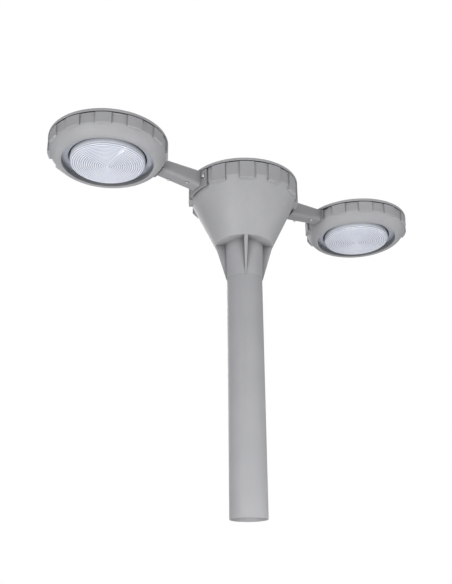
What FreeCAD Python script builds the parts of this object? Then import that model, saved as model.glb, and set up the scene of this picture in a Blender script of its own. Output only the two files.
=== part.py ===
import FreeCAD, Part

import math
import os

import Sketcher

# Solar street lamp top: a funnel head on a round pole, two disc lamp heads on short box arms, and a
# round solar lid on each of the three heads. Origin at the centre of the pole's open lower end, +Z up,
# +X along the arms towards the right lamp. Depths are measured down from the top of the lids.

# alias, millimetres or degrees or a count, meaning
DIMENSIONS = [
    ("lid_top", 870.0, "height of the lid tops above the pole's lower end"),
    ("arm_reach", 395.6, "pole axis to lamp axis"),
    ("head_radius", 145.0, "outer radius of lids and raised blocks"),
    ("band_radius", 140.5, "radius of the band between the raised blocks"),
    ("band_bore", 136.9, "inside radius of the band"),
    ("block_bore", 134.0, "inside radius behind a raised block"),
    ("block_span", 15.0, "angle of one raised block"),
    ("block_pitch", 30.0, "angle from block to block"),
    ("lid_skirt", 8.0, "height of the lid's side"),
    ("lid_edge", 2.5, "rounding of the lid's top edge"),
    ("lid_window", 128.0, "radius of the lid's opening"),
    ("lid_ledge", 121.0, "inside radius of the ledge under the panel"),
    ("ledge_depth", 6.0, "depth of the ledge under the panel"),
    ("spigot_depth", 12.5, "depth of the lid's centring ring"),
    ("seam", 2.5, "height of the gasket seam under the lid"),
    ("seal_inner", 135.0, "inside radius of the lid gasket"),
    ("seal_outer", 143.6, "outside radius of the lid gasket"),
    ("lid_screw_radius", 138.5, "circle of the lid screws"),
    ("glass_thick", 3.5, "panel glass thickness"),
    ("glass_depth", 1.5, "depth of the glass face"),
    ("sheet_thick", 0.6, "white backsheet thickness"),
    ("cell_thick", 0.35, "solar cell thickness"),
    ("cell_length", 152.0, "length of a solar cell strip"),
    ("cell_pitch", 22.7, "strip to strip"),
    ("cell_gap", 0.8, "gap between strips"),
    ("side_cell_width", 18.8, "width of a side strip"),
    ("side_cell_gap", 5.8, "gap from the block of strips to a side strip"),
    ("side_cell_corner", 9.5, "cut corner of a side strip"),
    ("panel_turn", 98.5, "direction of the strips, from the outward arm axis"),
    ("lamp_crease", 35.0, "depth where the lamp's band meets its bowl"),
    ("lamp_block_depth", 38.5, "depth of the lamp's raised blocks"),
    ("knee_radius", 129.0, "radius of the bowl's knee, where its slope starts to round"),
    ("knee_depth", 52.5, "depth of that knee"),
    ("lip_depth", 59.5, "depth of the lamp's lower lip"),
    ("lip_flat", 117.0, "radius where the bowl runs into the lip"),
    ("light_opening", 110.5, "radius of the lamp's light opening"),
    ("rim_depth", 46.5, "depth of the rim that carries the trim ring"),
    ("rim_outer", 116.0, "outside radius of that rim"),
    ("trim_bore", 94.0, "inside radius of the trim ring"),
    ("trim_thick", 2.0, "trim ring thickness"),
    ("lens_seal", 1.5, "lens gasket thickness"),
    ("lens_flange", 106.0, "radius of the lens flange"),
    ("lens_flange_thick", 2.5, "lens flange thickness"),
    ("lens_radius", 91.0, "radius of the lens drum"),
    ("lens_wall", 2.5, "lens wall thickness"),
    ("lens_round", 5.0, "rounding of the lens shoulder"),
    ("lens_shoulder", 65.0, "depth of the lens shoulder"),
    ("lens_apex", 67.5, "depth of the lens centre"),
    ("plate_radius", 116.5, "radius of the lamp's mounting plate"),
    ("plate_thick", 3.0, "mounting plate thickness"),
    ("board_radius", 78.0, "LED board radius"),
    ("board_thick", 1.6, "LED board thickness"),
    ("chip_side", 3.5, "LED side"),
    ("chip_height", 0.8, "LED height"),
    ("plate_screw_radius", 112.5, "circle of the plate screws"),
    ("driver_length", 110.0, "LED driver length"),
    ("driver_width", 42.0, "LED driver width"),
    ("driver_height", 22.0, "LED driver height"),
    ("crease_depth", 44.5, "depth where the funnel's band meets its cone"),
    ("block_depth", 56.0, "depth of the funnel's raised blocks"),
    ("ring_depth", 181.0, "depth of the funnel's flat lower ring"),
    ("ring_radius", 74.7, "radius of that ring"),
    ("floor_thick", 4.0, "thickness of the funnel's floor"),
    ("floor_bore", 38.0, "radius of the cable way in the floor"),
    ("cone_wall", 3.6, "wall of the cone, level"),
    ("shelf_depth", 97.0, "depth of the shelf inside the cone"),
    ("shelf_width", 5.0, "width of that shelf"),
    ("shelf_thick", 3.0, "thickness of that shelf"),
    ("collar_top", 49.6, "collar radius under the ring"),
    ("collar_end", 46.6, "collar radius at its lower end"),
    ("collar_bore", 45.2, "collar bore radius"),
    ("collar_depth", 277.0, "depth of the collar's lower end"),
    ("rib_depth", 275.0, "depth of the ribs' lower ends"),
    ("rib_thick", 10.0, "rib thickness at the ring"),
    ("rib_end_thick", 3.0, "rib thickness at its lower end"),
    ("rib_turn", 60.0, "angle of the first rib from +X"),
    ("pole_radius", 45.0, "pole radius"),
    ("pole_bore", 42.0, "pole bore radius"),
    ("arm_width", 40.0, "width of the arm"),
    ("arm_wall", 3.5, "wall of the arm"),
    ("arm_edge", 10.0, "rounding of the arm's lower edges"),
    ("arm_root_depth", 54.0, "depth of the arm's underside at the funnel band"),
    ("arm_tip_depth", 39.4, "depth of the arm's underside at the lamp band"),
    ("cover_thick", 2.5, "arm cover thickness"),
    ("saddle_span", 32.0, "angle of the saddle on the funnel band"),
    ("saddle_depth", 57.5, "depth of that saddle"),
    ("pad_span", 21.2, "angle of the pad on the lamp band"),
    ("pad_depth", 39.9, "depth of that pad"),
    ("fit_gap", 0.05, "gap of parts that sit on each other"),
    ("cable_depth", 27.0, "depth of the cable way and the arm bolts"),
    ("cable_radius", 3.5, "cable radius"),
    ("cable_hole", 6.2, "cable hole radius"),
    ("cable_bend", 30.0, "bend of the cable inside the funnel"),
    ("cable_drop", 60.0, "distance from the pole axis of the cable's drop"),
    ("bolt_turn", 11.0, "angle of a saddle bolt from the arm axis"),
    ("bolt_radius", 3.0, "saddle bolt shank radius"),
    ("spot_radius", 7.0, "saddle bolt spot face radius"),
    ("spot_depth", 1.5, "saddle bolt spot face depth"),
    ("lamp_bolt_offset", 13.2, "lamp bolt distance from the arm axis"),
    ("lamp_bolt_radius", 2.5, "lamp bolt shank radius"),
    ("cover_screw_mid", 201.0, "middle of the two cover screws"),
    ("cover_screw_x", 21.0, "cover screw distance from that middle, along the arm"),
    ("cover_screw_y", 11.0, "cover screw distance from the arm axis"),
    ("cover_screw_seat", 0.45, "cover screw head below the underside at its middle, for its slope"),
    ("screw_radius", 2.25, "small screw shank radius"),
    ("tray_depth", 170.0, "depth of the battery tray's face"),
    ("tray_radius", 72.5, "battery tray radius"),
    ("tray_thick", 2.0, "battery tray thickness"),
    ("battery_radius", 16.1, "battery cell radius"),
    ("battery_height", 70.0, "battery cell height"),
    ("battery_pitch", 33.0, "battery cell spacing"),
    ("strap_width", 20.0, "battery strap width"),
    ("strap_thick", 1.2, "battery strap thickness"),
    ("controller_length", 150.0, "charge controller length"),
    ("controller_width", 70.0, "charge controller width"),
    ("controller_height", 23.0, "charge controller height"),
    ("switch_turn", 60.0, "angle of the switch from +X"),
    ("switch_depth", 33.0, "depth of the switch axis"),
    ("switch_barrel", 6.0, "switch barrel radius"),
    ("switch_bezel", 9.0, "switch bezel radius"),
    ("switch_bezel_thick", 2.5, "switch bezel thickness"),
    ("button_radius", 4.5, "button radius"),
    ("button_proud", 2.5, "button height above the bezel"),
    ("button_travel", 2.0, "button travel"),
    ("button_gap", 0.05, "radial clearance of the button"),
    ("set_screw_radius", 4.0, "pole set screw radius"),
    ("set_screw_depth", 235.0, "depth of the pole set screws"),
    ("set_screw_turn", 15.0, "angle of the first set screw from +X"),
]

FUSE_OVERLAP = 1.0
SOCKET_DEPTH = 0.55


class Size:
    """A length kept both as its number and as the sheet expression that gives it."""

    def __init__(self, number, text):
        self.number = float(number)
        self.text = text

    def __add__(self, other):
        other = as_size(other)
        return Size(self.number + other.number, f"({self.text} + {other.text})")

    def __sub__(self, other):
        other = as_size(other)
        return Size(self.number - other.number, f"({self.text} - {other.text})")

    def __mul__(self, other):
        other = as_size(other)
        return Size(self.number * other.number, f"({self.text} * {other.text})")

    def __truediv__(self, other):
        other = as_size(other)
        return Size(self.number / other.number, f"({self.text} / {other.text})")

    def __neg__(self):
        return Size(-self.number, f"(0 - {self.text})")

    __radd__ = __add__

def as_size(value):
    if isinstance(value, Size):
        return value
    return Size(value, f"{float(value):.6g}")


class Sizes:
    """The sheet's cells, one attribute each."""


doc = FreeCAD.newDocument("SolarStreetLamp")
sheet = doc.addObject("Spreadsheet::Sheet", "Dimensions")
dim = Sizes()
for row, (alias, value, meaning) in enumerate(DIMENSIONS, start=1):
    sheet.set(f"A{row}", alias)
    sheet.set(f"B{row}", str(value))
    sheet.setAlias(f"B{row}", alias)
    sheet.set(f"C{row}", meaning)
    setattr(dim, alias, Size(value, f"Dimensions.{alias}"))
doc.recompute()

X_AXIS = FreeCAD.Vector(1, 0, 0)
Y_AXIS = FreeCAD.Vector(0, 1, 0)
Z_AXIS = FreeCAD.Vector(0, 0, 1)
nodes = []


def level(depth):
    """Height of something at this depth below the lid tops."""
    return dim.lid_top - depth


def bind(feature, name, size):
    feature.setExpression(name, as_size(size).text)


def node(feature, label):
    feature.Label = label
    nodes.append(feature)
    return feature


def place(feature, at=(0, 0, 0), turn=0.0, tilt=None):
    """Place a feature: first the tilt rotation, then a turn about Z in degrees, then the move."""
    tilt = tilt or FreeCAD.Rotation()
    at = [as_size(value) for value in at]
    turn = as_size(turn)
    position = FreeCAD.Vector(*(value.number for value in at))
    feature.Placement = FreeCAD.Placement(position, FreeCAD.Rotation(Z_AXIS, turn.number) * tilt)
    for axis, value in zip("xyz", at):
        if value.number:
            feature.setExpression(f"Placement.Base.{axis}", value.text)
    return feature


# ---------------------------------------------------------------- sketches

def new_body(name):
    return doc.addObject("PartDesign::Body", name)


def origin_feature(body, role):
    return [feature for feature in body.Origin.OriginFeatures if feature.Role == role][0]


def new_sketch(body, name, plane="XZ_Plane", offset=(0, 0, 0)):
    sketch = body.newObject("Sketcher::SketchObject", name)
    sketch.AttachmentSupport = [(origin_feature(body, plane), "")]
    sketch.MapMode = "FlatFace"
    for axis, value in zip("xyz", offset):
        value = as_size(value)
        if value.number:
            bind(sketch, f"AttachmentOffset.Base.{axis}", value)
    return sketch


def constrain(sketch, kind, *values):
    """Add one constraint; a Size as its last value is bound to the sheet."""
    size = values[-1] if isinstance(values[-1], Size) else None
    plain = values[:-1] + (size.number,) if size else values
    index = sketch.addConstraint(Sketcher.Constraint(kind, *plain))
    if size:
        sketch.setExpression(f"Constraints[{index}]", size.text)


def fix_point(sketch, edge, end, x, y):
    """Hold one end of a sketch edge at x, y from the sketch's origin."""
    for kind, value, axis in (("DistanceX", x, -2), ("DistanceY", y, -1)):
        if value.number:
            constrain(sketch, kind, -1, 1, edge, end, value)
        else:
            constrain(sketch, "PointOnObject", edge, end, axis)


def arc_between(start, end, bend):
    """Arc from start to end; a positive bend turns left, a negative one right."""
    chord = end - start
    left = FreeCAD.Vector(-chord.y, chord.x, 0)
    left.normalize()
    rise = math.sqrt(bend * bend - chord.Length ** 2 / 4)
    centre = (start + end) * 0.5 + left * math.copysign(rise, bend)
    first, last = (start, end) if bend > 0 else (end, start)
    angles = [math.atan2(point.y - centre.y, point.x - centre.x) for point in (first, last)]
    if angles[1] < angles[0]:
        angles[1] += 2 * math.pi
    return Part.ArcOfCircle(Part.Circle(centre, Z_AXIS, abs(bend)), *angles)


def outline(sketch, corners):
    """Closed outline. A corner is (x, y), or (x, y, bend) where an arc of radius bend leaves it."""
    corners = [[as_size(value) for value in corner] for corner in corners]
    points = [FreeCAD.Vector(corner[0].number, corner[1].number, 0) for corner in corners]
    ends = []
    for index, corner in enumerate(corners):
        start = points[index]
        stop = points[(index + 1) % len(points)]
        if len(corner) == 3:
            edge = sketch.addGeometry(arc_between(start, stop, corner[2].number), False)
            ends.append((edge, 1, 2) if corner[2].number > 0 else (edge, 2, 1))
        else:
            edge = sketch.addGeometry(Part.LineSegment(start, stop), False)
            ends.append((edge, 1, 2))
    for index, (edge, first, last) in enumerate(ends):
        after, after_first, _ = ends[(index + 1) % len(ends)]
        constrain(sketch, "Coincident", edge, last, after, after_first)
        corner = corners[index]
        fix_point(sketch, edge, first, corner[0], corner[1])
        if len(corner) == 3:
            radius = corner[2] if corner[2].number > 0 else -corner[2]
            constrain(sketch, "Radius", edge, radius)


def circle(sketch, radius, x=0, y=0):
    x, y, radius = as_size(x), as_size(y), as_size(radius)
    centre = FreeCAD.Vector(x.number, y.number, 0)
    edge = sketch.addGeometry(Part.Circle(centre, Z_AXIS, radius.number), False)
    fix_point(sketch, edge, 3, x, y)
    constrain(sketch, "Radius", edge, radius)


def rectangle(sketch, left, bottom, right, top):
    outline(sketch, [(left, bottom), (right, bottom), (right, top), (left, top)])


def hexagon(sketch, across):
    """Regular hexagon about the sketch's origin; across is its radius over the corners."""
    across = as_size(across)
    corners = []
    for index in range(6):
        angle = math.radians(60 * index)
        corners.append((across * round(math.cos(angle), 6), across * round(math.sin(angle), 6)))
    outline(sketch, corners)


# ---------------------------------------------------------------- features

def revolve(body, corners, offset=(0, 0, 0), axis="V_Axis"):
    sketch = new_sketch(body, body.Name + "_profile", "XZ_Plane", offset)
    outline(sketch, corners)
    turned = body.newObject("PartDesign::Revolution", body.Name + "_turned")
    turned.Profile = sketch
    turned.ReferenceAxis = (sketch, [axis])
    turned.Angle = 360
    return turned


def pad(body, sketch, length, both_ways=False):
    raised = body.newObject("PartDesign::Pad", sketch.Name + "_pad")
    raised.Profile = sketch
    raised.Midplane = both_ways
    bind(raised, "Length", length)
    return raised


def pocket(body, sketch, length):
    cut = body.newObject("PartDesign::Pocket", sketch.Name + "_pocket")
    cut.Profile = sketch
    bind(cut, "Length", length)
    return cut


def ring_of(body, features, count, angle=360.0, role="Z_Axis"):
    pattern = body.newObject("PartDesign::PolarPattern", body.Name + "_ring")
    pattern.Originals = features
    pattern.Axis = (origin_feature(body, role), [""])
    pattern.Angle = angle
    pattern.Occurrences = count
    body.Tip = pattern
    return pattern


def disc(name, outer, bottom, thickness, inner=None):
    """Flat disc or ring, from its bottom height."""
    body = new_body(name)
    sketch = new_sketch(body, name + "_circles", "XY_Plane", (0, 0, bottom))
    circle(sketch, outer)
    if inner is not None:
        circle(sketch, inner)
    pad(body, sketch, thickness)
    return body


def cylinder(name, radius, height, at=(0, 0, 0), angle=None, turn=0.0):
    """Part cylinder standing on its base, or a wedge of one from turn to turn + angle."""
    solid = doc.addObject("Part::Cylinder", name)
    bind(solid, "Radius", radius)
    bind(solid, "Height", height)
    if angle is not None:
        bind(solid, "Angle", angle)
    return place(solid, at, turn)


def radial_cylinder(name, radius, inner, outer, turn, depth):
    """Part cylinder along a radius of a head, from inner to outer."""
    inner = as_size(inner)
    turn = as_size(turn)
    solid = doc.addObject("Part::Cylinder", name)
    bind(solid, "Radius", radius)
    bind(solid, "Height", as_size(outer) - inner)
    angle = math.radians(turn.number)
    east = inner * round(math.cos(angle), 9)
    north = inner * round(math.sin(angle), 9)
    return place(solid, (east, north, level(depth)), turn, FreeCAD.Rotation(Y_AXIS, 90))


def join(name, shapes):
    fused = doc.addObject("Part::MultiFuse", name)
    fused.Shapes = shapes
    fused.Refine = True
    return fused


def subtract(name, base, tools):
    """Cut the tools from the base."""
    cut = doc.addObject("Part::Cut", name)
    cut.Base = base
    cut.Tool = tools[0] if len(tools) == 1 else join(name + "_tools", tools)
    return cut


def screw(name, axis, seat, head_radius, head_height, shank_radius, shank_length, offset, socket):
    """One socket-head screw. Its head stands out along +axis from the seat, at the sketch offset."""
    body = new_body(name)
    seat = as_size(seat)
    tip = seat - shank_length
    face = seat + head_height
    bevel = head_height * 0.3
    if axis == "Z":
        corners = [(0, tip), (shank_radius, tip), (shank_radius, seat), (head_radius, seat),
                   (head_radius, face - bevel), (head_radius - bevel, face), (0, face)]
        turned = revolve(body, corners, (offset[0], 0, -offset[1]))
        recess = new_sketch(body, name + "_socket", "XY_Plane", (offset[0], offset[1], face))
    else:
        corners = [(tip, 0), (face, 0), (face, head_radius - bevel), (face - bevel, head_radius),
                   (seat, head_radius), (seat, shank_radius), (tip, shank_radius)]
        turned = revolve(body, corners, (0, offset[1], -offset[0]), "H_Axis")
        recess = new_sketch(body, name + "_socket", "YZ_Plane", (offset[0], offset[1], face))
    hexagon(recess, socket)
    cut = pocket(body, recess, head_height * SOCKET_DEPTH)
    body.Tip = cut
    return body, [turned, cut]


# ---------------------------------------------------------------- solar lid, the same on every head

def lid_ring(side, at, turn):
    body = new_body(side + "_lid_ring")
    spigot = dim.block_bore - 0.2
    edge = dim.lid_edge
    revolve(body, [
        (dim.lid_ledge, level(dim.lid_skirt)),
        (spigot - 3.3, level(dim.lid_skirt)),
        (spigot - 3.3, level(dim.spigot_depth)),
        (spigot, level(dim.spigot_depth)),
        (spigot, level(dim.lid_skirt)),
        (dim.head_radius, level(dim.lid_skirt)),
        (dim.head_radius, level(edge), edge),
        (dim.head_radius - edge, dim.lid_top),
        (dim.lid_window + 1.2, dim.lid_top),
        (dim.lid_window, level(1.2)),
        (dim.lid_window, level(dim.ledge_depth)),
        (dim.lid_ledge, level(dim.ledge_depth)),
    ])
    seat = new_sketch(body, body.Name + "_seat", "XY_Plane", (0, 0, dim.lid_top))
    circle(seat, 4.5, dim.lid_screw_radius)
    seat_cut = pocket(body, seat, 3.4)
    hole = new_sketch(body, body.Name + "_hole", "XY_Plane", (0, 0, dim.lid_top))
    circle(hole, dim.screw_radius + 0.25, dim.lid_screw_radius)
    hole_cut = pocket(body, hole, dim.lid_skirt)
    ring_of(body, [seat_cut, hole_cut], 4)
    return node(place(body, at, turn + dim.block_pitch), body.Name)


def cell_strips(sketch):
    """Eight strips side by side, and a strip with cut outer corners at each end of them."""
    half = dim.cell_length / 2
    for index in range(8):
        bottom = dim.cell_pitch * (index - 4) + dim.cell_gap / 2
        rectangle(sketch, -half, bottom, half, bottom + dim.cell_pitch - dim.cell_gap)
    inner = half + dim.side_cell_gap
    outer = inner + dim.side_cell_width
    corner = dim.side_cell_corner
    right = [(inner, -half), (outer - corner, -half), (outer, corner - half),
             (outer, half - corner), (outer - corner, half), (inner, half)]
    outline(sketch, right)
    outline(sketch, [(-x, -y) for x, y in right])


def solar_lid(side, at, turn):
    """Lid ring, laminated round panel, gasket and screws of one head."""
    lid_ring(side, at, turn)
    sheet_top = level(dim.ledge_depth) + dim.sheet_thick
    glass = disc(side + "_panel_glass", dim.lid_window - 0.3,
                 level(dim.glass_depth) - dim.glass_thick, dim.glass_thick)
    backsheet = disc(side + "_panel_backsheet", dim.lid_window - 0.6,
                     level(dim.ledge_depth), dim.sheet_thick)
    cells = new_body(side + "_solar_cells")
    sketch = new_sketch(cells, cells.Name + "_strips", "XY_Plane", (0, 0, sheet_top))
    cell_strips(sketch)
    pad(cells, sketch, dim.cell_thick)
    gasket = new_body(side + "_lid_gasket")
    sketch = new_sketch(gasket, gasket.Name + "_circles", "XY_Plane",
                        (0, 0, level(dim.lid_skirt + dim.seam)))
    circle(sketch, dim.seal_outer)
    circle(sketch, dim.seal_inner)
    for index in range(4):
        quarter = math.radians(90 * index)
        circle(sketch, dim.screw_radius + 0.05, dim.lid_screw_radius * round(math.cos(quarter)),
               dim.lid_screw_radius * round(math.sin(quarter)))
    pad(gasket, sketch, dim.seam)
    screws, parts = screw(side + "_lid_screws", "Z", level(3.4), 4.1, 2.4, dim.screw_radius, 17.0,
                          (dim.lid_screw_radius, as_size(0)), 1.7)
    ring_of(screws, parts, 4)
    node(place(glass, at, turn), glass.Name)
    node(place(backsheet, at, turn), backsheet.Name)
    node(place(cells, at, turn + dim.panel_turn), cells.Name)
    node(place(gasket, at, turn + dim.block_pitch), gasket.Name)
    node(place(screws, at, turn + dim.block_pitch), screws.Name)


def raised_blocks(name, bottom, turns):
    """Ring of raised blocks, centred at the given multiples of the block pitch."""
    top = level(dim.lid_skirt + dim.seam)
    wedges = []
    for index in turns:
        wedges.append(cylinder(f"{name}_{index}", dim.head_radius, top - bottom, (0, 0, bottom),
                               dim.block_span, dim.block_pitch * index - dim.block_span / 2))
    bore = cylinder(name + "_bore", dim.block_bore, top - bottom, (0, 0, bottom))
    return subtract(name, join(name + "_wedges", wedges), [bore])


def lid_screw_holes(name):
    """Drill tools for the four lid screws."""
    top = level(dim.lid_skirt + dim.seam)
    tools = []
    for index in range(4):
        angle = math.radians(dim.block_pitch.number + 90 * index)
        at = (dim.lid_screw_radius * round(math.cos(angle), 9),
              dim.lid_screw_radius * round(math.sin(angle), 9), top - 12)
        tools.append(cylinder(f"{name}_{index}", dim.screw_radius + 0.05, 13, at))
    return tools


# ---------------------------------------------------------------- lamp heads

def lamp_shell(side):
    """Band and bowl of a lamp, open at the top, with the light opening below."""
    body = new_body(side + "_shell")
    top = level(dim.lid_skirt + dim.seam)
    crease = level(dim.lamp_crease)
    lip = level(dim.lip_depth)
    revolve(body, [
        (dim.band_bore, top),
        (dim.band_bore, crease - 1, -34),
        (dim.rim_outer, lip + 4.5),
        (dim.rim_outer, level(dim.rim_depth)),
        (dim.light_opening, level(dim.rim_depth)),
        (dim.light_opening, lip + 1, 1),
        (dim.light_opening + 1, lip),
        (dim.lip_flat, lip, 24),
        (dim.knee_radius, level(dim.knee_depth), 60),
        (dim.band_radius, crease),
        (dim.band_radius, top),
    ])
    return body


def lamp_housing(side, at, turn):
    """Lamp casting. Its arm comes from its own -X side, where no block stands."""
    shell = lamp_shell(side)
    blocks = raised_blocks(side + "_blocks", level(dim.lamp_block_depth),
                           [index for index in range(12) if index != 6])
    casting = join(side + "_casting", [shell, blocks])
    inner, outer = dim.band_bore - 5, dim.head_radius
    tools = lid_screw_holes(side + "_lid_hole")
    tools.append(radial_cylinder(side + "_cable_hole", dim.cable_hole, inner, outer, 180,
                                 dim.cable_depth))
    for sign in (-1, 1):
        tool = cylinder(f"{side}_bolt_hole_{sign + 1}", dim.lamp_bolt_radius + 0.05, 20,
                        (-dim.head_radius, dim.lamp_bolt_offset * sign, level(dim.cable_depth)))
        tool.Placement.Rotation = FreeCAD.Rotation(Y_AXIS, 90)
        tools.append(tool)
    for index in range(6):
        angle = math.radians(60 * index + 30)
        spot = (dim.plate_screw_radius * round(math.cos(angle), 9),
                dim.plate_screw_radius * round(math.sin(angle), 9), level(dim.rim_depth) - 7)
        tools.append(cylinder(f"{side}_rim_hole_{index}", dim.screw_radius - 0.2, 8, spot))
    housing = subtract(side + "_drilled", casting, tools)
    node(place(housing, at, turn), side + "_housing")


def holed_disc(name, outer, bottom, thickness, inner, hole_radius):
    """Ring or disc with six holes on the plate screws' circle."""
    body = disc(name, outer, bottom, thickness, inner)
    sketch = new_sketch(body, name + "_holes", "XY_Plane", (0, 0, bottom + thickness))
    circle(sketch, hole_radius, dim.plate_screw_radius)
    ring_of(body, [pocket(body, sketch, thickness)], 6)
    return body


def led_board(side, bottom):
    """Round board with its LEDs on the underside, in rings about a centre one."""
    body = disc(side + "_led_board", dim.board_radius, bottom, dim.board_thick)
    half = dim.chip_side / 2
    for ring, count in enumerate((1, 6, 12, 18)):
        reach = dim.board_radius * 0.28 * ring
        sketch = new_sketch(body, f"{body.Name}_chip_{ring}", "XY_Plane", (0, 0, bottom))
        rectangle(sketch, reach - half, -half, reach + half, half)
        chip = pad(body, sketch, dim.chip_height)
        chip.Reversed = True
        if count > 1:
            ring_of(body, [chip], count)
    return body


def lens(side, seat):
    """Clear drum with a shallow domed face and a clamped flange."""
    body = new_body(side + "_lens")
    wall = dim.lens_wall
    bend = dim.lens_round
    shoulder = level(dim.lens_shoulder)
    apex = level(dim.lens_apex)
    top = seat + dim.lens_flange_thick
    face_bend = 1400
    revolve(body, [
        (0, apex + wall),
        (0, apex, face_bend),
        (dim.lens_radius - bend, shoulder, dim.lens_round * 1.2),
        (dim.lens_radius, shoulder + bend),
        (dim.lens_radius, seat),
        (dim.lens_flange, seat),
        (dim.lens_flange, top),
        (dim.lens_radius - wall, top),
        (dim.lens_radius - wall, shoulder + bend, wall - bend),
        (dim.lens_radius - bend, shoulder + wall, -face_bend),
    ])
    return body


def rounded_box(name, length, width, height, bottom, edge):
    """Box standing on its bottom height, with rounded upright and top edges."""
    body = new_body(name)
    sketch = new_sketch(body, name + "_base", "XY_Plane", (0, 0, bottom))
    length, width = as_size(length), as_size(width)
    rectangle(sketch, -(length / 2), -(width / 2), length / 2, width / 2)
    block = pad(body, sketch, height)
    doc.recompute()
    floor = as_size(bottom).number
    names = [f"Edge{number}" for number, rim in enumerate(block.Shape.Edges, start=1)
             if rim.BoundBox.ZMax > floor + 0.01]
    rounding = body.newObject("PartDesign::Fillet", name + "_rounding")
    rounding.Base = (block, names)
    rounding.Radius = edge
    return body


def lamp_inside(side, at, turn):
    """Trim ring, lens, seal, mounting plate, board, driver and their screws."""
    ring_bottom = level(dim.rim_depth)
    seal_bottom = ring_bottom + dim.trim_thick
    lens_seat = seal_bottom + dim.lens_seal
    plate_bottom = lens_seat + dim.lens_flange_thick
    trim = holed_disc(side + "_trim_ring", dim.rim_outer - 0.2, ring_bottom, dim.trim_thick,
                      dim.trim_bore, dim.screw_radius - 0.2)
    seal = disc(side + "_lens_gasket", dim.lens_flange, seal_bottom, dim.lens_seal,
                dim.lens_radius + 0.3)
    clear = lens(side, lens_seat)
    plate = holed_disc(side + "_mounting_plate", dim.plate_radius, plate_bottom, dim.plate_thick,
                       6.0, dim.screw_radius - 0.2)
    board = led_board(side, plate_bottom - dim.board_thick)
    driver = rounded_box(side + "_led_driver", dim.driver_length, dim.driver_width,
                         dim.driver_height, plate_bottom + dim.plate_thick, 3.0)
    screws, parts = screw(side + "_plate_screws", "Z", plate_bottom + dim.plate_thick, 3.8, 2.5,
                          dim.screw_radius - 0.25, 15.0, (dim.plate_screw_radius, as_size(0)), 1.5)
    ring_of(screws, parts, 6)
    for body in (trim, seal, clear, plate, board, driver, screws):
        extra = 30 if body in (trim, plate, screws) else 0
        node(place(body, at, turn + extra), body.Name)


# ---------------------------------------------------------------- arms

def sloped_bar(name, start, end, top, start_bottom, end_bottom, width, edge):
    """Bar along X whose underside slopes, with rounded lower edges."""
    body = new_body(name)
    sketch = new_sketch(body, name + "_side")
    outline(sketch, [(start, start_bottom), (end, end_bottom), (end, top), (start, top)])
    bar = pad(body, sketch, width, True)
    doc.recompute()
    middle = (start_bottom.number + end_bottom.number) / 2
    names = []
    for number, rim in enumerate(bar.Shape.Edges, start=1):
        centre = rim.BoundBox.Center
        along = rim.BoundBox.XLength > 1
        if along and abs(centre.y) > 1 and abs(centre.z - middle) < 0.1:
            names.append(f"Edge{number}")
    rounding = body.newObject("PartDesign::Fillet", name + "_rounding")
    rounding.Base = (bar, names)
    bind(rounding, "Radius", edge)
    return body


def band_sector(name, centre_x, span, middle, bottom, inner):
    """Curved plate over a head's band, between the inner radius and the blocks' outer radius."""
    top = level(dim.lid_skirt + dim.seam)
    wedge = cylinder(name + "_wedge", dim.head_radius, top - bottom, (centre_x, 0, bottom), span,
                     middle - span / 2)
    core = cylinder(name + "_core", inner, top - bottom, (centre_x, 0, bottom))
    return subtract(name, wedge, [core])


def arm_channel(side, turn):
    """Box arm open at the top, with a saddle on the funnel band and a pad on the lamp band."""
    name = side + "_arm"
    inner = dim.band_radius + dim.fit_gap
    cover_seat = level(dim.lid_skirt + dim.seam + dim.cover_thick)
    start = dim.band_radius - 6
    end = dim.arm_reach - dim.band_radius + 6
    root, tip = level(dim.arm_root_depth), level(dim.arm_tip_depth)
    wall = dim.arm_wall
    bar = sloped_bar(name + "_bar", start, end, cover_seat, root, tip, dim.arm_width, dim.arm_edge)
    hollow = sloped_bar(name + "_hollow", start + 17, end - 17, cover_seat + 1, root + wall,
                        tip + wall, dim.arm_width - wall * 2, dim.arm_edge - wall)
    low, high = level(dim.saddle_depth + 10), dim.saddle_depth + 10
    trims = [hollow]
    for place_name, centre in (("root", as_size(0)), ("tip", dim.arm_reach)):
        trims.append(cylinder(f"{name}_{place_name}_trim", inner, high, (centre, 0, low)))
    beam = subtract(name + "_beam", bar, trims)
    saddle = band_sector(name + "_saddle", 0, dim.saddle_span, as_size(0), level(dim.saddle_depth),
                         inner)
    pad_plate = band_sector(name + "_pad", dim.arm_reach, dim.pad_span, as_size(180),
                            level(dim.pad_depth), inner)
    solid = join(name + "_solid", [beam, saddle, pad_plate])
    tools = []
    for sign in (-1, 1):
        angle = dim.bolt_turn * sign
        tools.append(radial_cylinder(f"{name}_bolt_hole_{sign + 1}", dim.bolt_radius + 0.3,
                                     dim.band_bore, dim.head_radius + 2, angle, dim.cable_depth))
        tools.append(radial_cylinder(f"{name}_bolt_spot_{sign + 1}", dim.spot_radius,
                                     dim.head_radius - dim.spot_depth, dim.head_radius + 9, angle,
                                     dim.cable_depth))
        hole = cylinder(f"{name}_lamp_hole_{sign + 1}", dim.lamp_bolt_radius + 0.05, 30,
                        (end - 18, dim.lamp_bolt_offset * sign, level(dim.cable_depth)))
        hole.Placement.Rotation = FreeCAD.Rotation(Y_AXIS, 90)
        tools.append(hole)
        spot = (dim.cover_screw_mid + dim.cover_screw_x * sign, -dim.cover_screw_y * sign, low)
        tools.append(cylinder(f"{name}_cover_hole_{sign + 1}", dim.screw_radius + 0.15, 30, spot))
    way = cylinder(name + "_cable_way", dim.cable_hole, end - start, (start, 0, level(dim.cable_depth)))
    way.Placement.Rotation = FreeCAD.Rotation(Y_AXIS, 90)
    tools.append(way)
    node(place(subtract(name + "_drilled", solid, tools), (0, 0, 0), turn), side + "_arm")


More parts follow.
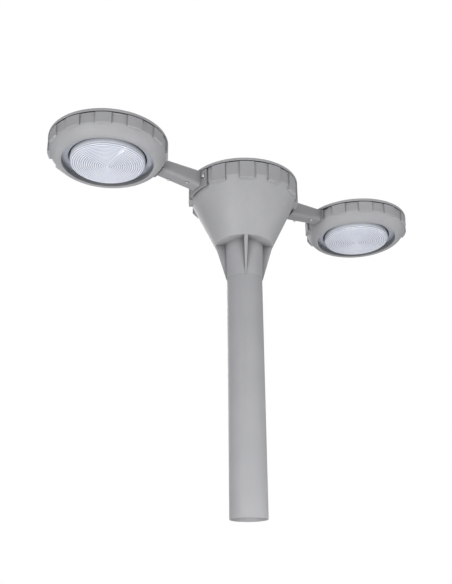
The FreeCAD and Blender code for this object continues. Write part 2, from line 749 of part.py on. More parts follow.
def arm_cover(side, turn):
    """Flat cover of the arm's open top, between the two heads' blocks."""
    body = new_body(side + "_cover_plate")
    bottom = level(dim.lid_skirt + dim.seam + dim.cover_thick)
    sketch = new_sketch(body, body.Name + "_outline", "XY_Plane", (0, 0, bottom))
    half = dim.arm_width / 2
    rectangle(sketch, dim.band_radius, -half, dim.arm_reach - dim.band_radius, half)
    pad(body, sketch, dim.cover_thick)
    radius = dim.head_radius + dim.fit_gap
    tools = []
    for index, centre in enumerate((as_size(0), dim.arm_reach)):
        tools.append(cylinder(f"{body.Name}_trim_{index}", radius, 9, (centre, 0, bottom - 3)))
    for sign in (-1, 1):
        spot = (dim.cover_screw_mid + dim.cover_screw_x * sign, -dim.cover_screw_y * sign,
                bottom - 1)
        tools.append(cylinder(f"{body.Name}_hole_{sign + 1}", dim.screw_radius + 0.05, 2.5, spot))
    cover = subtract(body.Name + "_trimmed", body, tools)
    node(place(cover, (0, 0, 0), turn), side + "_arm_cover")


def underside(x):
    """Height of the arm's underside at this distance from the pole axis."""
    start = dim.band_radius - 6
    end = dim.arm_reach - dim.band_radius + 6
    share = (as_size(x) - start) / (end - start)
    return level(dim.arm_root_depth) + (dim.arm_root_depth - dim.arm_tip_depth) * share


def arm_bolts(side, turn):
    """Saddle bolts and lamp bolts of one arm."""
    name = side + "_saddle_bolts"
    bolts, parts = screw(name, "X", dim.head_radius - dim.spot_depth, 5.0, 4.0,
                         dim.bolt_radius, 15.0, (as_size(0), level(dim.cable_depth)), 2.6)
    ring_of(bolts, parts, 2, 2 * dim.bolt_turn.number)
    node(place(bolts, (0, 0, 0), turn - dim.bolt_turn), name)
    name = side + "_lamp_bolts"
    seat = dim.arm_reach - dim.band_bore + 1.4
    bolts, parts = screw(name, "X", seat, 4.2, 4.0, dim.lamp_bolt_radius, 12.0,
                         (dim.lamp_bolt_offset, as_size(0)), 2.2)
    ring_of(bolts, parts, 2, 360.0, "X_Axis")
    node(place(bolts, (0, 0, level(dim.cable_depth)), turn), name)


def cover_screws(side, turn):
    """Two screws from below into the cover. Each head follows the arm's underside at its place."""
    lid_line = level(dim.lid_skirt + dim.seam + dim.cover_thick)
    solids = []
    for sign in (-1, 1):
        x = dim.cover_screw_mid + dim.cover_screw_x * sign
        y = -dim.cover_screw_y * sign
        seat = underside(x) - dim.cover_screw_seat
        head = cylinder(f"{side}_cover_head_{sign + 1}", 3.6, 2.2, (x, y, seat - 2.2))
        shank = cylinder(f"{side}_cover_shank_{sign + 1}", dim.screw_radius,
                         lid_line - seat + 1.4, (x, y, seat))
        socket = doc.addObject("Part::Prism", f"{side}_cover_socket_{sign + 1}")
        socket.Polygon = 6
        socket.Circumradius = 1.6
        socket.Height = 1.4
        place(socket, (x, y, seat - 2.4))
        solids.append(subtract(f"{side}_cover_screw_{sign + 1}",
                               join(f"{side}_cover_body_{sign + 1}", [head, shank]), [socket]))
    group = doc.addObject("Part::Compound", side + "_cover_screw_pair")
    group.Links = solids
    node(place(group, (0, 0, 0), turn), side + "_arm_cover_screws")


def arm_cable(side, turn):
    """Cable from the LED driver straight through the arm and down to the charge controller."""
    body = new_body(side + "_arm_cable")
    height = level(dim.cable_depth)
    end_x = dim.arm_reach - dim.driver_length / 2
    bend_x = dim.cable_drop + dim.cable_bend
    bottom = level(dim.shelf_depth) + 2 + dim.controller_height
    path = new_sketch(body, body.Name + "_path")
    corner = FreeCAD.Vector(dim.cable_drop.number, (height - dim.cable_bend).number, 0)
    straight = Part.LineSegment(FreeCAD.Vector(end_x.number, height.number, 0),
                                FreeCAD.Vector(bend_x.number, height.number, 0))
    bend = arc_between(FreeCAD.Vector(bend_x.number, height.number, 0), corner,
                       dim.cable_bend.number)
    drop = Part.LineSegment(corner, FreeCAD.Vector(corner.x, bottom.number, 0))
    for edge in (straight, bend, drop):
        path.addGeometry(edge, False)
    fix_point(path, 0, 1, end_x, height)
    fix_point(path, 0, 2, bend_x, height)
    fix_point(path, 2, 1, dim.cable_drop, height - dim.cable_bend)
    fix_point(path, 2, 2, dim.cable_drop, bottom)
    constrain(path, "Coincident", 0, 2, 1, 1)
    constrain(path, "Coincident", 1, 2, 2, 1)
    constrain(path, "Radius", 1, dim.cable_bend)
    section = new_sketch(body, body.Name + "_section", "YZ_Plane", (0, 0, end_x))
    circle(section, dim.cable_radius, 0, height)
    pipe = body.newObject("PartDesign::AdditivePipe", body.Name + "_pipe")
    pipe.Profile = section
    pipe.Spine = (path, ["Edge1", "Edge2", "Edge3"])
    node(place(body, (0, 0, 0), turn), body.Name)


def grommets(side, turn):
    """Two rubber grommets, in the funnel band and in the lamp band."""
    body = new_body(side + "_grommets")
    sketch = new_sketch(body, body.Name + "_profile", "XZ_Plane", (0, level(dim.cable_depth), 0))
    inner = dim.cable_radius + dim.fit_gap
    barrel = dim.cable_hole - dim.fit_gap
    flange = dim.cable_hole + 2.5
    root = dim.band_bore - 0.8
    outline(sketch, [(root - 1.5, inner), (root + 7, inner), (root + 7, barrel), (root, barrel),
                     (root, flange), (root - 1.5, flange)])
    tip = dim.arm_reach - dim.band_bore + 0.8
    outline(sketch, [(tip - 7, inner), (tip + 1.5, inner), (tip + 1.5, flange), (tip, flange),
                     (tip, barrel), (tip - 7, barrel)])
    turned = body.newObject("PartDesign::Revolution", body.Name + "_turned")
    turned.Profile = sketch
    turned.ReferenceAxis = (sketch, ["H_Axis"])
    turned.Angle = 360
    node(place(body, (0, 0, 0), turn), body.Name)


# ---------------------------------------------------------------- funnel head and pole

def funnel_shell():
    """Band, cone, floor and collar in one turned wall."""
    body = new_body("funnel_shell")
    top = level(dim.lid_skirt + dim.seam)
    crease = level(dim.crease_depth)
    ring = level(dim.ring_depth)
    floor = ring + dim.floor_thick
    slope = (dim.band_radius - dim.ring_radius) / (dim.ring_depth - dim.crease_depth)

    def inside(depth):
        """Inside radius of the cone at this depth."""
        return dim.band_radius - slope * (as_size(depth) - dim.crease_depth) - dim.cone_wall

    shelf = dim.shelf_depth
    revolve(body, [
        (dim.band_bore, top),
        (dim.band_bore, crease),
        (inside(shelf), level(shelf)),
        (inside(shelf) - dim.shelf_width, level(shelf)),
        (inside(shelf) - dim.shelf_width, level(shelf + dim.shelf_thick)),
        (inside(shelf + dim.shelf_thick), level(shelf + dim.shelf_thick)),
        (inside(dim.ring_depth - dim.floor_thick), floor),
        (dim.floor_bore, floor),
        (dim.floor_bore, ring),
        (dim.collar_bore, ring),
        (dim.collar_bore, level(dim.collar_depth)),
        (dim.collar_end, level(dim.collar_depth)),
        (dim.collar_top, ring),
        (dim.ring_radius - 2.6, ring, 3.2),
        (dim.ring_radius + 1.1, ring + 2.4),
        (dim.band_radius, crease),
        (dim.band_radius, top),
    ])
    return body


def rib(index):
    """Tapering gusset between the lower ring and the collar."""
    solid = doc.addObject("Part::Wedge", f"rib_{index}")
    root = dim.collar_bore + 0.7
    for name, value in (
        ("Xmin", root), ("Xmax", dim.ring_radius - 0.6),
        ("X2min", root), ("X2max", dim.collar_end + 0.7),
        ("Ymin", as_size(0)), ("Ymax", dim.rib_depth - dim.ring_depth + FUSE_OVERLAP),
        ("Zmin", -(dim.rib_thick / 2)), ("Zmax", dim.rib_thick / 2),
        ("Z2min", -(dim.rib_end_thick / 2)), ("Z2max", dim.rib_end_thick / 2),
    ):
        bind(solid, name, value)
    return place(solid, (0, 0, level(dim.ring_depth) + FUSE_OVERLAP), dim.rib_turn + 90 * index,
                 FreeCAD.Rotation(X_AXIS, -90))


def funnel_body():
    """Funnel casting with its raised blocks, gussets and drilled holes."""
    blocks = raised_blocks("funnel_blocks", level(dim.block_depth),
                           [index for index in range(12) if index not in (0, 6)])
    casting = join("funnel_casting", [funnel_shell(), blocks] + [rib(index) for index in range(4)])
    inner, outer = dim.block_bore - 5, dim.head_radius + 2
    tools = lid_screw_holes("funnel_lid_hole")
    for end, turn in (("right", 0), ("left", 180)):
        tools.append(radial_cylinder(f"funnel_cable_hole_{end}", dim.cable_hole, inner, outer,
                                     turn, dim.cable_depth))
        for sign in (-1, 1):
            tools.append(radial_cylinder(f"funnel_bolt_hole_{end}_{sign + 1}",
                                         dim.bolt_radius + 0.05, inner, outer,
                                         dim.bolt_turn * sign + turn, dim.cable_depth))
    tools.append(radial_cylinder("funnel_switch_hole", dim.switch_barrel + 0.1, inner, outer,
                                 dim.switch_turn, dim.switch_depth))
    for index in range(2):
        tools.append(radial_cylinder(f"funnel_set_hole_{index}", dim.set_screw_radius + 0.05,
                                     dim.pole_radius - 3, dim.collar_top + 3,
                                     dim.set_screw_turn + 90 * index, dim.set_screw_depth))
    node(subtract("funnel_drilled", casting, tools), "funnel_body")


def pole():
    body = disc("pole", dim.pole_radius, 0, level(dim.ring_depth), dim.pole_bore)
    node(body, "pole")
    screws, parts = screw("pole_set_screws", "X", dim.collar_end + 1.4, dim.set_screw_radius, 2.0,
                          dim.set_screw_radius - 0.2, dim.collar_end + 1.35 - dim.pole_radius,
                          (as_size(0), level(dim.set_screw_depth)), 2.3)
    ring_of(screws, parts, 2, 90.0)
    node(place(screws, (0, 0, 0), dim.set_screw_turn), "pole_set_screws")


# ---------------------------------------------------------------- battery, controller and switch

def battery():
    """Tray on four feet, eight round cells in two rows, and the strap over them."""
    tray_top = level(dim.tray_depth)
    tray = disc("battery_tray", dim.tray_radius, tray_top - dim.tray_thick, dim.tray_thick)
    feet = new_sketch(tray, "battery_tray_feet", "XY_Plane", (0, 0, tray_top - dim.tray_thick))
    circle(feet, 4.0, dim.tray_radius - 12)
    foot = pad(tray, feet, dim.ring_depth - dim.floor_thick - dim.tray_depth - dim.tray_thick)
    foot.Reversed = True
    ring_of(tray, [foot], 4)
    node(tray, "battery_tray")
    cells = new_body("battery_cells")
    sketch = new_sketch(cells, "battery_cells_circles", "XY_Plane", (0, 0, tray_top))
    for column in (-1.5, -0.5, 0.5, 1.5):
        for line in (-0.5, 0.5):
            circle(sketch, dim.battery_radius, dim.battery_pitch * column,
                   dim.battery_pitch * line)
    pad(cells, sketch, dim.battery_height)
    node(cells, "battery_cells")
    strap = new_body("battery_strap")
    sketch = new_sketch(strap, "battery_strap_outline", "YZ_Plane", (0, 0, 0))
    inner = dim.battery_pitch / 2 + dim.battery_radius + 0.3
    outer = inner + dim.strap_thick
    inside = tray_top + dim.battery_height + 0.2
    outline(sketch, [(-outer, tray_top), (-inner, tray_top), (-inner, inside), (inner, inside),
                     (inner, tray_top), (outer, tray_top), (outer, inside + dim.strap_thick),
                     (-outer, inside + dim.strap_thick)])
    pad(strap, sketch, dim.strap_width, True)
    node(strap, "battery_strap")


def controller():
    shelf = level(dim.shelf_depth)
    slope = (dim.band_radius - dim.ring_radius) / (dim.ring_depth - dim.crease_depth)
    reach = dim.band_radius - slope * (dim.shelf_depth - dim.crease_depth) - dim.cone_wall
    node(disc("controller_plate", reach - 0.6, shelf, 2, 12), "controller_plate")
    box = rounded_box("charge_controller", dim.controller_length, dim.controller_width,
                      dim.controller_height, shelf + 2, 4.0)
    node(box, "charge_controller")


def switch():
    """Sealed push switch in a rear block: threaded housing, inner nut and sprung button."""
    height = level(dim.switch_depth)
    face = dim.head_radius + dim.switch_bezel_thick
    bore = dim.button_radius + dim.button_gap
    bore_end = face + dim.button_proud - dim.button_travel - 8.5
    housing = new_body("switch_housing")
    revolve(housing, [
        (dim.block_bore - 9, 0),
        (bore_end, 0),
        (bore_end, bore),
        (face, bore),
        (face, dim.switch_bezel - 1),
        (face - 1, dim.switch_bezel),
        (dim.head_radius + 0.02, dim.switch_bezel),
        (dim.head_radius + 0.02, dim.switch_barrel),
        (dim.block_bore - 9, dim.switch_barrel),
    ], (0, height, 0), "H_Axis")
    node(place(housing, (0, 0, 0), dim.switch_turn), "switch_housing")
    nut = new_body("switch_nut")
    sketch = new_sketch(nut, "switch_nut_outline", "YZ_Plane", (0, height, dim.block_bore - 4.5))
    hexagon(sketch, 9.0)
    circle(sketch, dim.switch_barrel + dim.fit_gap)
    pad(nut, sketch, 4.0)
    node(place(nut, (0, 0, 0), dim.switch_turn), "switch_nut")
    button = new_body("switch_button")
    tip = face + dim.button_proud
    revolve(button, [
        (tip - 8, 0),
        (tip, 0),
        (tip - 0.4, dim.button_radius - 1),
        (tip - 1.2, dim.button_radius),
        (tip - 8, dim.button_radius),
    ], (0, height, 0), "H_Axis")
    node(place(button, (0, 0, 0), dim.switch_turn), "switch_button")


# ---------------------------------------------------------------- assembly

funnel_body()
pole()
battery()
controller()
switch()
solar_lid("centre", (0, 0, 0), as_size(0))
for lamp, reach, lamp_turn in (("left", -dim.arm_reach, 180), ("right", dim.arm_reach, 0)):
    spot_at = (reach, 0, 0)
    spot_turn = as_size(lamp_turn)
    solar_lid(lamp, spot_at, spot_turn)
    lamp_housing(lamp, spot_at, spot_turn)
    lamp_inside(lamp, spot_at, spot_turn)
    arm_channel(lamp, spot_turn)
    arm_cover(lamp, spot_turn)
    arm_bolts(lamp, spot_turn)
    cover_screws(lamp, spot_turn)
    arm_cable(lamp, spot_turn)
    grommets(lamp, spot_turn)

doc.recompute()
for feature in doc.Objects:
    if "Invalid" in feature.State or "Error" in feature.State:
        raise RuntimeError(f"{feature.Name} ({feature.Label}) failed: {feature.State}")
for part in nodes:
    if part.Shape.isNull() or not part.Shape.isValid() or not part.Shape.Solids:
        raise RuntimeError(f"{part.Label} has no valid solid")

os.makedirs("parts", exist_ok=True)
for part in nodes:
    part.Shape.exportStep(f"parts/{part.Label}.step")
print(len(nodes), "nodes written")
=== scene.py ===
"""Solar street lamp: finished surfaces, materials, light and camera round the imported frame.

Lengths are in millimetres and angles in degrees, and both are converted where they are used.
Depths are measured down from the lid tops. Each head's own frame has its centre at the origin, and
a lamp's arm leaves it towards its own -X. Materials, lights and the camera are in metres.
"""

import math

import bmesh
import bpy
from mathutils import Matrix, Vector


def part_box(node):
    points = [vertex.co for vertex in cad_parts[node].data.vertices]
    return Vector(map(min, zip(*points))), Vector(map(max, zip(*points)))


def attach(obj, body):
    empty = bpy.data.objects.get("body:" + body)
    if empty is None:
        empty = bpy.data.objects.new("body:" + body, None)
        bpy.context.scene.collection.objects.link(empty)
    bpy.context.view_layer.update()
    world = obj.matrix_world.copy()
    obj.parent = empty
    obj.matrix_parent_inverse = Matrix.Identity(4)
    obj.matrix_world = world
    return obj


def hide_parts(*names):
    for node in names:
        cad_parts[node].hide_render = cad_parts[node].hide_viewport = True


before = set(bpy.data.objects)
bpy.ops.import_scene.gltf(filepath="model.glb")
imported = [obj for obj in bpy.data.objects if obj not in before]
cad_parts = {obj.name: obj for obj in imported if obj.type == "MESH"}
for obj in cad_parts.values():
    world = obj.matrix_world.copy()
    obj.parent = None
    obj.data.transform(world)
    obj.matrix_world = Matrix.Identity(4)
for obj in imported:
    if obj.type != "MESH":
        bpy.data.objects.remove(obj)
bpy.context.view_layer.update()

MM = 0.001
BODY = "lamp"
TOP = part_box("centre_lid_ring")[1].z / MM
REACH = sum(corner.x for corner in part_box("right_lid_ring")) / 2 / MM

HEADS = {
    "left": {"x": -REACH, "turn": 180},
    "centre": {"x": 0, "turn": 0},
    "right": {"x": REACH, "turn": 0},
}
LAMPS = ("left", "right")

# Turned meshes
ROUND_COLUMNS = 256
SHARP = 35
CAD_SHARP = 30

# Lids
HEAD_RADIUS = 145
LID_SKIRT = 8
LID_WINDOW = 128
LID_LEDGE = 121
LEDGE_DEPTH = 6
SPIGOT = (130.5, 133.8)
SPIGOT_DEPTH = 12.5
LID_SCREW_RADIUS = 138.5
LID_ROUND = 2.5
SEAT_RADIUS = 4.7
SEAT_DEPTH = 3.4
SEAT_ROUND = 0.4
SEAT_RIM = 0.3
SEAT_ABOVE = 0.7
SEAT_SIDES = 40

# Bands and their raised blocks
SEAM_BOTTOM = 10.5
BAND_RADIUS = 140.5
BAND_BORE = 136.9
BLOCK_PITCH = 30
BLOCK_HALF = 7.5
BLOCK_STEP = HEAD_RADIUS - BAND_RADIUS
SEAM_RIM = 143.4
SADDLE_HALF = 17.5

# A block's side, as way along the band, height and corner radius
BLOCK_SIDE = ((-3, 0), (-0.15, 0, 0.5), (0.25, BLOCK_STEP, 0.7), (3.4, BLOCK_STEP))

# A band's upper edge, as way out from the rim and depth below the seam
RIM_EDGE = ((-0.4, 0), (-0.12, 0.12), (0, 0.4))

# The slope below it, as share of the rim's overhang and depth below the seam
RIM_SLOPE = ((1, 0.9), (0.25, 1.7), (0, 2.4))

# A block's lower edge: its corner, and where it meets the surface below
FOOT_ROUND = 0.8
FOOT_STEPS = 4
FOOT_OUT = 0.5
FOOT_UNDER = (0.1, 0.3)
FOOT_CLEAR = 0.6
SEAM_STEP = 0.5

# Lamp heads
LAMP_CREASE = 35
LAMP_CREASE_DEPTHS = (22, 34, LAMP_CREASE, 35.8)
LAMP_BLOCK_DEPTH = 38.5
KNEE = (129, 52.5)
LIP_DEPTH = 59.5
LIP_FLAT = 117
LIP_ROUND = 1.6
LIP_WALL = 4.5
CASTING_ROUND = 6
BOWL_BENDS = (60, 24)
BOWL_STEPS = (16, 12)
OPENING = 110.5
RIM_DEPTH = 46.5
RIM_OUTER = 116
TRIM_BORE = 94.5
TRIM_THICK = 2
TRIM_GAP = 0.2
ROLL_HEIGHT = 0.4
ROLL_WIDTHS = (2.2, 3.2)
LENS_RADIUS = 91
LENS_WALL = 2.5
LENS_ROUND = 9
LENS_SHOULDER = 65
LENS_APEX = 68
LENS_FLANGE = 106
LENS_FLANGE_DEPTHS = (43, 40.5)
WALL_END = LENS_FLANGE_DEPTHS[0] + 3
WALL_STEP = 0.2
DOME_STEPS = 24
RING_PITCH = 5.2
RING_GROOVE = 1.0
PRISMS_END = LENS_SHOULDER - LENS_ROUND * 0.8
LED_FACE = 0.9

# One prism of the lens, as share of its width and share of the groove's depth
PRISM = ((0.06, 0.95), (0.26, 0.55), (0.46, 0.22), (0.64, 0.03), (0.76, 0.0), (0.88, 0.22),
         (0.96, 0.75))

# Funnel head and pole
FUNNEL_CREASE = 44.5
CREASE_SPAN = (36, 54)
CREASE_ROUND = 5
FUNNEL_BLOCK_DEPTH = 56
RING_DEPTH = 181
RING_RADIUS = 74.7
FLOOR_THICK = 4
FLOOR_BORE = 38
CONE_WALL = 3.6
CONE_OPENS = 80
COLLAR_TOP = 49.6
COLLAR_END = 45.35
COLLAR_BORE = 45.2
COLLAR_DEPTH = 277
RIB_DEPTH = 275
RIB_THICK = (10, 3)
RIB_TURN = 60
RIB_LEVELS = 14
RIB_SUNK = 1
RIB_INSET = 0.4
RIB_STANDS = 1.4
RIB_ROOT = COLLAR_BORE + 0.1
RIB_ROUND = 0.8
POLE_RADIUS = 45
POLE_BORE = 42

# Solar cells
CELL_LENGTH = 152
CELL_PITCH = 22.7
SIDE_CELL_GAP = 5.8
SIDE_CELL_WIDTH = 18.8
PANEL_TURN = 98.5
CELL_FACE = 5.05
FINGER_PITCH = 1.9
FINGER_SHARE = 0.06
RIBBON_HALF = {"long": 0.8, "side": 1.2, "short": 0.7}
RIBBON_INSET = {"long": 0.6, "short": 1}
RIBBON_THICK = 0.18
RIBBON_EDGE = 0.06
RIBBON_GAP = 0.10
RIBBON_STAGGER = 0.02

# Rounding of a CAD node's own edges, in metres and degrees
MERGE_DISTANCE = 1e-6
FLAT_WITHIN = 0.6
ROUND_OVER = 38

# Studio, in metres and watts
FLOOR_HALF = 12
FLOOR_HEIGHT = -1.2
AMBIENT = 0.36
LIGHTS = {
    # name: place, target, diameter, power
    "key": ((-2.7, -0.95, -0.8), (0, 0, 0.7), 0.8, 35),
    "below_left": ((-0.55, -0.8, -0.6), (0, 0, 0.7), 0.3, 2.5),
    "below_right": ((0.25, -0.8, -0.6), (0, 0, 0.65), 0.3, 4),
    "right_side": ((1.6, -1.0, 0.3), (0, 0, 0.6), 1.4, 5),
    "high_front": ((-0.2, -2.2, 0.9), (0, 0, 0.5), 1.6, 9),
    "high_back": ((0.5, 3.2, 1.5), (0, 0, 0.6), 1.8, 26),
    "overhead": ((0, 0.3, 2.8), (0, 0, 0.87), 1.6, 30),
}


# ---------------------------------------------------------------- outlines and meshes

def arc_points(centre, start, sweep, radius, steps):
    """Points of an arc in the outline plane."""
    angles = [math.radians(start + sweep * step / steps) for step in range(steps + 1)]
    return [(centre[0] + radius * math.cos(angle), centre[1] + radius * math.sin(angle))
            for angle in angles]


def rounded(corners, steps=5, closed=True):
    """Outline from corners (x, y) or (x, y, radius), each radius a tangent arc at its corner."""
    points = []
    count = len(corners)
    for index, corner in enumerate(corners):
        here = Vector(corner[:2])
        end = not closed and index in (0, count - 1)
        if len(corner) == 2 or end:
            points.append(tuple(here))
            continue
        back = Vector(corners[index - 1][:2]) - here
        ahead = Vector(corners[(index + 1) % count][:2]) - here
        half = back.angle(ahead) / 2
        reach = corner[2] / math.tan(half)
        start = here + back.normalized() * reach
        stop = here + ahead.normalized() * reach
        between = (back.normalized() + ahead.normalized()).normalized()
        middle = here + between * corner[2] / math.sin(half)
        first = math.atan2(start.y - middle.y, start.x - middle.x)
        turn = math.atan2(stop.y - middle.y, stop.x - middle.x) - first
        turn = (turn + math.pi) % (2 * math.pi) - math.pi
        points += arc_points(middle, math.degrees(first), math.degrees(turn), corner[2], steps)
    return points


def mesh_piece(name, vertices, faces):
    """Mesh object from points in metres."""
    mesh = bpy.data.meshes.new(name)
    mesh.from_pydata(vertices, [], faces)
    mesh.validate()
    piece = bpy.data.objects.new(name, mesh)
    bpy.context.scene.collection.objects.link(piece)
    smooth(piece)
    return piece


def smooth(piece, sharp=SHARP):
    """Shade smooth, but for edges over the sharp angle."""
    piece.data.shade_smooth()
    piece.data.set_sharp_from_angle(angle=math.radians(sharp))


def plain_columns():
    """Columns of a plain round piece: evenly spaced, and none stands out."""
    return [(360 * index / ROUND_COLUMNS, 0) for index in range(ROUND_COLUMNS)]


def block_columns(missing):
    """Columns round a band, each an angle and how far it stands out: 1 on a raised block, 0
    between blocks, where a thin rim runs under the seam, and -1 where an arm's saddle takes the
    rim's place."""
    side = rounded(BLOCK_SIDE, 4, False)
    rise = [(math.degrees(along / HEAD_RADIUS), height / BLOCK_STEP) for along, height in side]
    spread = [BLOCK_HALF * part / 6 for part in range(-4, 5)]
    columns = []
    for index in range(360 // BLOCK_PITCH):
        middle = BLOCK_PITCH * index
        stands = 0 if index in missing else 1
        columns += [(middle - BLOCK_HALF + along, height * stands) for along, height in rise]
        columns += [(middle + along, stands) for along in spread]
        columns += [(middle + BLOCK_HALF - along, height * stands)
                    for along, height in reversed(rise)]
        columns += [(middle + BLOCK_PITCH / 2 + along, 0) for along in spread]
    for index in missing:
        saddle = BLOCK_PITCH * index
        columns = [(angle, -1 if abs(wrapped(angle - saddle)) < SADDLE_HALF else stand)
                   for angle, stand in columns]
    return columns


def wrapped(angle):
    """The same angle between -180 and 180 degrees."""
    return (angle + 180) % 360 - 180


def turned(name, band, block=None, bare=None, columns=None, head=HEADS["centre"], grooves=()):
    """Closed outline (radius, depth) turned about a head's axis. Where a column stands out, the
    outline moves from the band's points to the block's, or to the bare band's where it is below 0.
    Grooves gives each point's share of a groove's depth, kept on the mesh for its material."""
    columns = columns or plain_columns()
    vertices = []
    for angle, stand in columns:
        turn = math.radians(angle + head["turn"])
        other = (block if stand > 0 else bare) or band
        for (radius, depth), (other_radius, other_depth) in zip(band, other):
            radius += (other_radius - radius) * abs(stand)
            height = TOP - (depth + (other_depth - depth) * abs(stand))
            vertices.append(((head["x"] + radius * math.cos(turn)) * MM,
                             radius * math.sin(turn) * MM, height * MM))
    rows = len(band)
    faces = []
    for column in range(len(columns)):
        here, there = column * rows, (column + 1) % len(columns) * rows
        for row in range(rows):
            after = (row + 1) % rows
            faces.append((here + row, there + row, there + after, here + after))
    piece = mesh_piece(name, vertices, faces)
    if grooves:
        kept = piece.data.attributes.new("groove", "FLOAT", "POINT")
        kept.data.foreach_set("value", list(grooves) * len(columns))
    return close_axis(piece)


def close_axis(piece):
    """Merge the points that lie on the axis, and drop the faces that vanish with them."""
    work = bmesh.new()
    work.from_mesh(piece.data)
    bmesh.ops.remove_doubles(work, verts=work.verts, dist=1e-7)
    bmesh.ops.recalc_face_normals(work, faces=work.faces)
    work.to_mesh(piece.data)
    work.free()
    smooth(piece)
    return piece


def apply_modifiers(piece):
    """Give a piece the mesh that its modifiers make, and drop them."""
    graph = bpy.context.evaluated_depsgraph_get()
    made = bpy.data.meshes.new_from_object(piece.evaluated_get(graph))
    piece.modifiers.clear()
    piece.data = made


def combine(piece, tools, operation):
    """Boolean with tool pieces, applied, and the tools removed."""
    for tool in tools:
        modifier = piece.modifiers.new("combine", "BOOLEAN")
        modifier.operation = operation
        modifier.solver = "EXACT"
        modifier.object = tool
    bpy.context.view_layer.update()
    apply_modifiers(piece)
    for tool in tools:
        bpy.data.objects.remove(tool)
    smooth(piece)
    return piece


def finished(piece, material, slot, *nodes):
    """Give a piece its material and body, and let it stand for its CAD nodes. The slot is not
    used.
    """
    piece.data.materials.clear()
    piece.data.materials.append(material)
    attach(piece, BODY)
    if nodes:
        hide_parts(*nodes)
    return piece


# ---------------------------------------------------------------- material nodes

class Shader:
    """A node material under construction, with short helpers for its usual nodes. Texture
    scales are per metre, and distances are in metres."""

    def __init__(self, name):
        self.material = bpy.data.materials.new(name)
        self.material.use_nodes = True
        self.tree = self.material.node_tree
        self.tree.nodes.clear()
        self.output = self.tree.nodes.new("ShaderNodeOutputMaterial")
        self.position = self.tree.nodes.new("ShaderNodeTexCoord").outputs["Object"]

    def link(self, value, socket):
        if isinstance(value, bpy.types.NodeSocket):
            self.tree.links.new(value, socket)
        elif isinstance(value, (tuple, list)) and len(value) == 3 and socket.type == "RGBA":
            socket.default_value = (*value, 1)
        else:
            socket.default_value = value

    def node(self, kind, settings=None, **inputs):
        made = self.tree.nodes.new("ShaderNode" + kind)
        for key, value in (settings or {}).items():
            setattr(made, key, value)
        for key, value in inputs.items():
            self.link(value, made.inputs[key.replace("_", " ")])
        return made

    def stretched(self, scale):
        return self.node("Mapping", Vector=self.position, Scale=scale).outputs[0]

    def noise(self, scale, detail=2.0, roughness=0.5, vector=None):
        return self.node("TexNoise", Scale=scale, Detail=detail, Roughness=roughness,
                         Vector=vector or self.position).outputs["Fac"]

    def ramp(self, value, low, high, to_low=0.0, to_high=1.0):
        return self.node("MapRange", Value=value, From_Min=low, From_Max=high, To_Min=to_low,
                         To_Max=to_high).outputs[0]

    def occlusion(self, distance):
        """How open a point is, from 0 in a tight corner to 1."""
        return self.node("AmbientOcclusion", {"samples": 8}, Distance=distance).outputs["AO"]

    def mix(self, factor, first, second):
        """Colour from first to second; 6, 7 and 2 are the Mix node's colour sockets."""
        made = self.node("Mix", {"data_type": "RGBA"})
        self.link(factor, made.inputs[0])
        self.link(first, made.inputs[6])
        self.link(second, made.inputs[7])
        return made.outputs[2]

    def math(self, operation, first, second=0.0):
        made = self.node("Math", {"operation": operation})
        self.link(first, made.inputs[0])
        self.link(second, made.inputs[1])
        return made.outputs[0]

    def bump(self, height, distance, strength=1.0, below=None):
        made = self.node("Bump", Height=height, Distance=distance, Strength=strength)
        if below:
            self.link(below, made.inputs["Normal"])
        return made.outputs[0]

    def finish(self, **inputs):
        surface = self.node("BsdfPrincipled", **inputs)
        self.link(surface.outputs[0], self.output.inputs["Surface"])
        return self.material


def shade(colour, factor):
    """The colour made darker or lighter, each channel at most 1."""
    return tuple(min(1, channel * factor) for channel in colour)


def powder_coat(name, colour, grime=0.06):
    """Satin powder coat: fine orange peel, faint cloudy tone, weather marks that run down, and
    painted shade that darkens the corners, creases and recesses."""
    shader = Shader(name)
    peel = shader.noise(750, 3, 0.55)
    grain = shader.noise(3200, 1, 0.5)
    cloud = shader.noise(9, 4, 0.6)
    streak = shader.noise(55, 3, 0.6, shader.stretched((1, 1, 0.06)))
    darker, lighter = shade(colour, 1 - grime), shade(colour, 1 + grime * 0.5)
    tone = shader.node("VectorMath", {"operation": "SCALE"},
                       Scale=shader.ramp(grain, 0.35, 0.7, 0.96, 1.03))
    shader.link(shader.mix(shader.ramp(cloud, 0.35, 0.65), darker, lighter), tone.inputs[0])
    marks = shader.ramp(streak, 0.56, 0.78, 0, 0.35)
    coat = shader.bump(peel, 0.00035, 0.30)
    coat = shader.bump(grain, 0.00006, 0.25, coat)
    weathered_and_shaded = shader.mix(marks, tone.outputs[0], shade(colour, 0.88))
    # Painted shade: the occlusion mask darkens corners, creases and recesses towards a dark copy
    # of the coat.
    corner_shade = shader.ramp(shader.occlusion(0.05), 0.36, 0.88, 0.95, 0.0)
    weathered_and_shaded = shader.mix(corner_shade, weathered_and_shaded, shade(colour, 0.35))
    return shader.finish(Base_Color=weathered_and_shaded, Roughness=shader.ramp(peel, 0.3, 0.7, 0.46, 0.60),
                         Normal=coat, IOR=1.5)


def metal(name, colour, roughness, brushed=(1, 1, 1), scale=300):
    """Bare metal with fine brushing, which runs across the axis that brushed scales up most."""
    shader = Shader(name)
    lines = shader.noise(scale, 4, 0.6, shader.stretched(brushed))
    stain = shader.noise(40, 3)
    tone = shader.mix(shader.ramp(stain, 0.35, 0.65), shade(colour, 0.86), colour)
    return shader.finish(Base_Color=tone, Metallic=1.0, Normal=shader.bump(lines, 0.00005, 0.4),
                         Roughness=shader.ramp(lines, 0.3, 0.7, roughness * 0.8, roughness * 1.25))


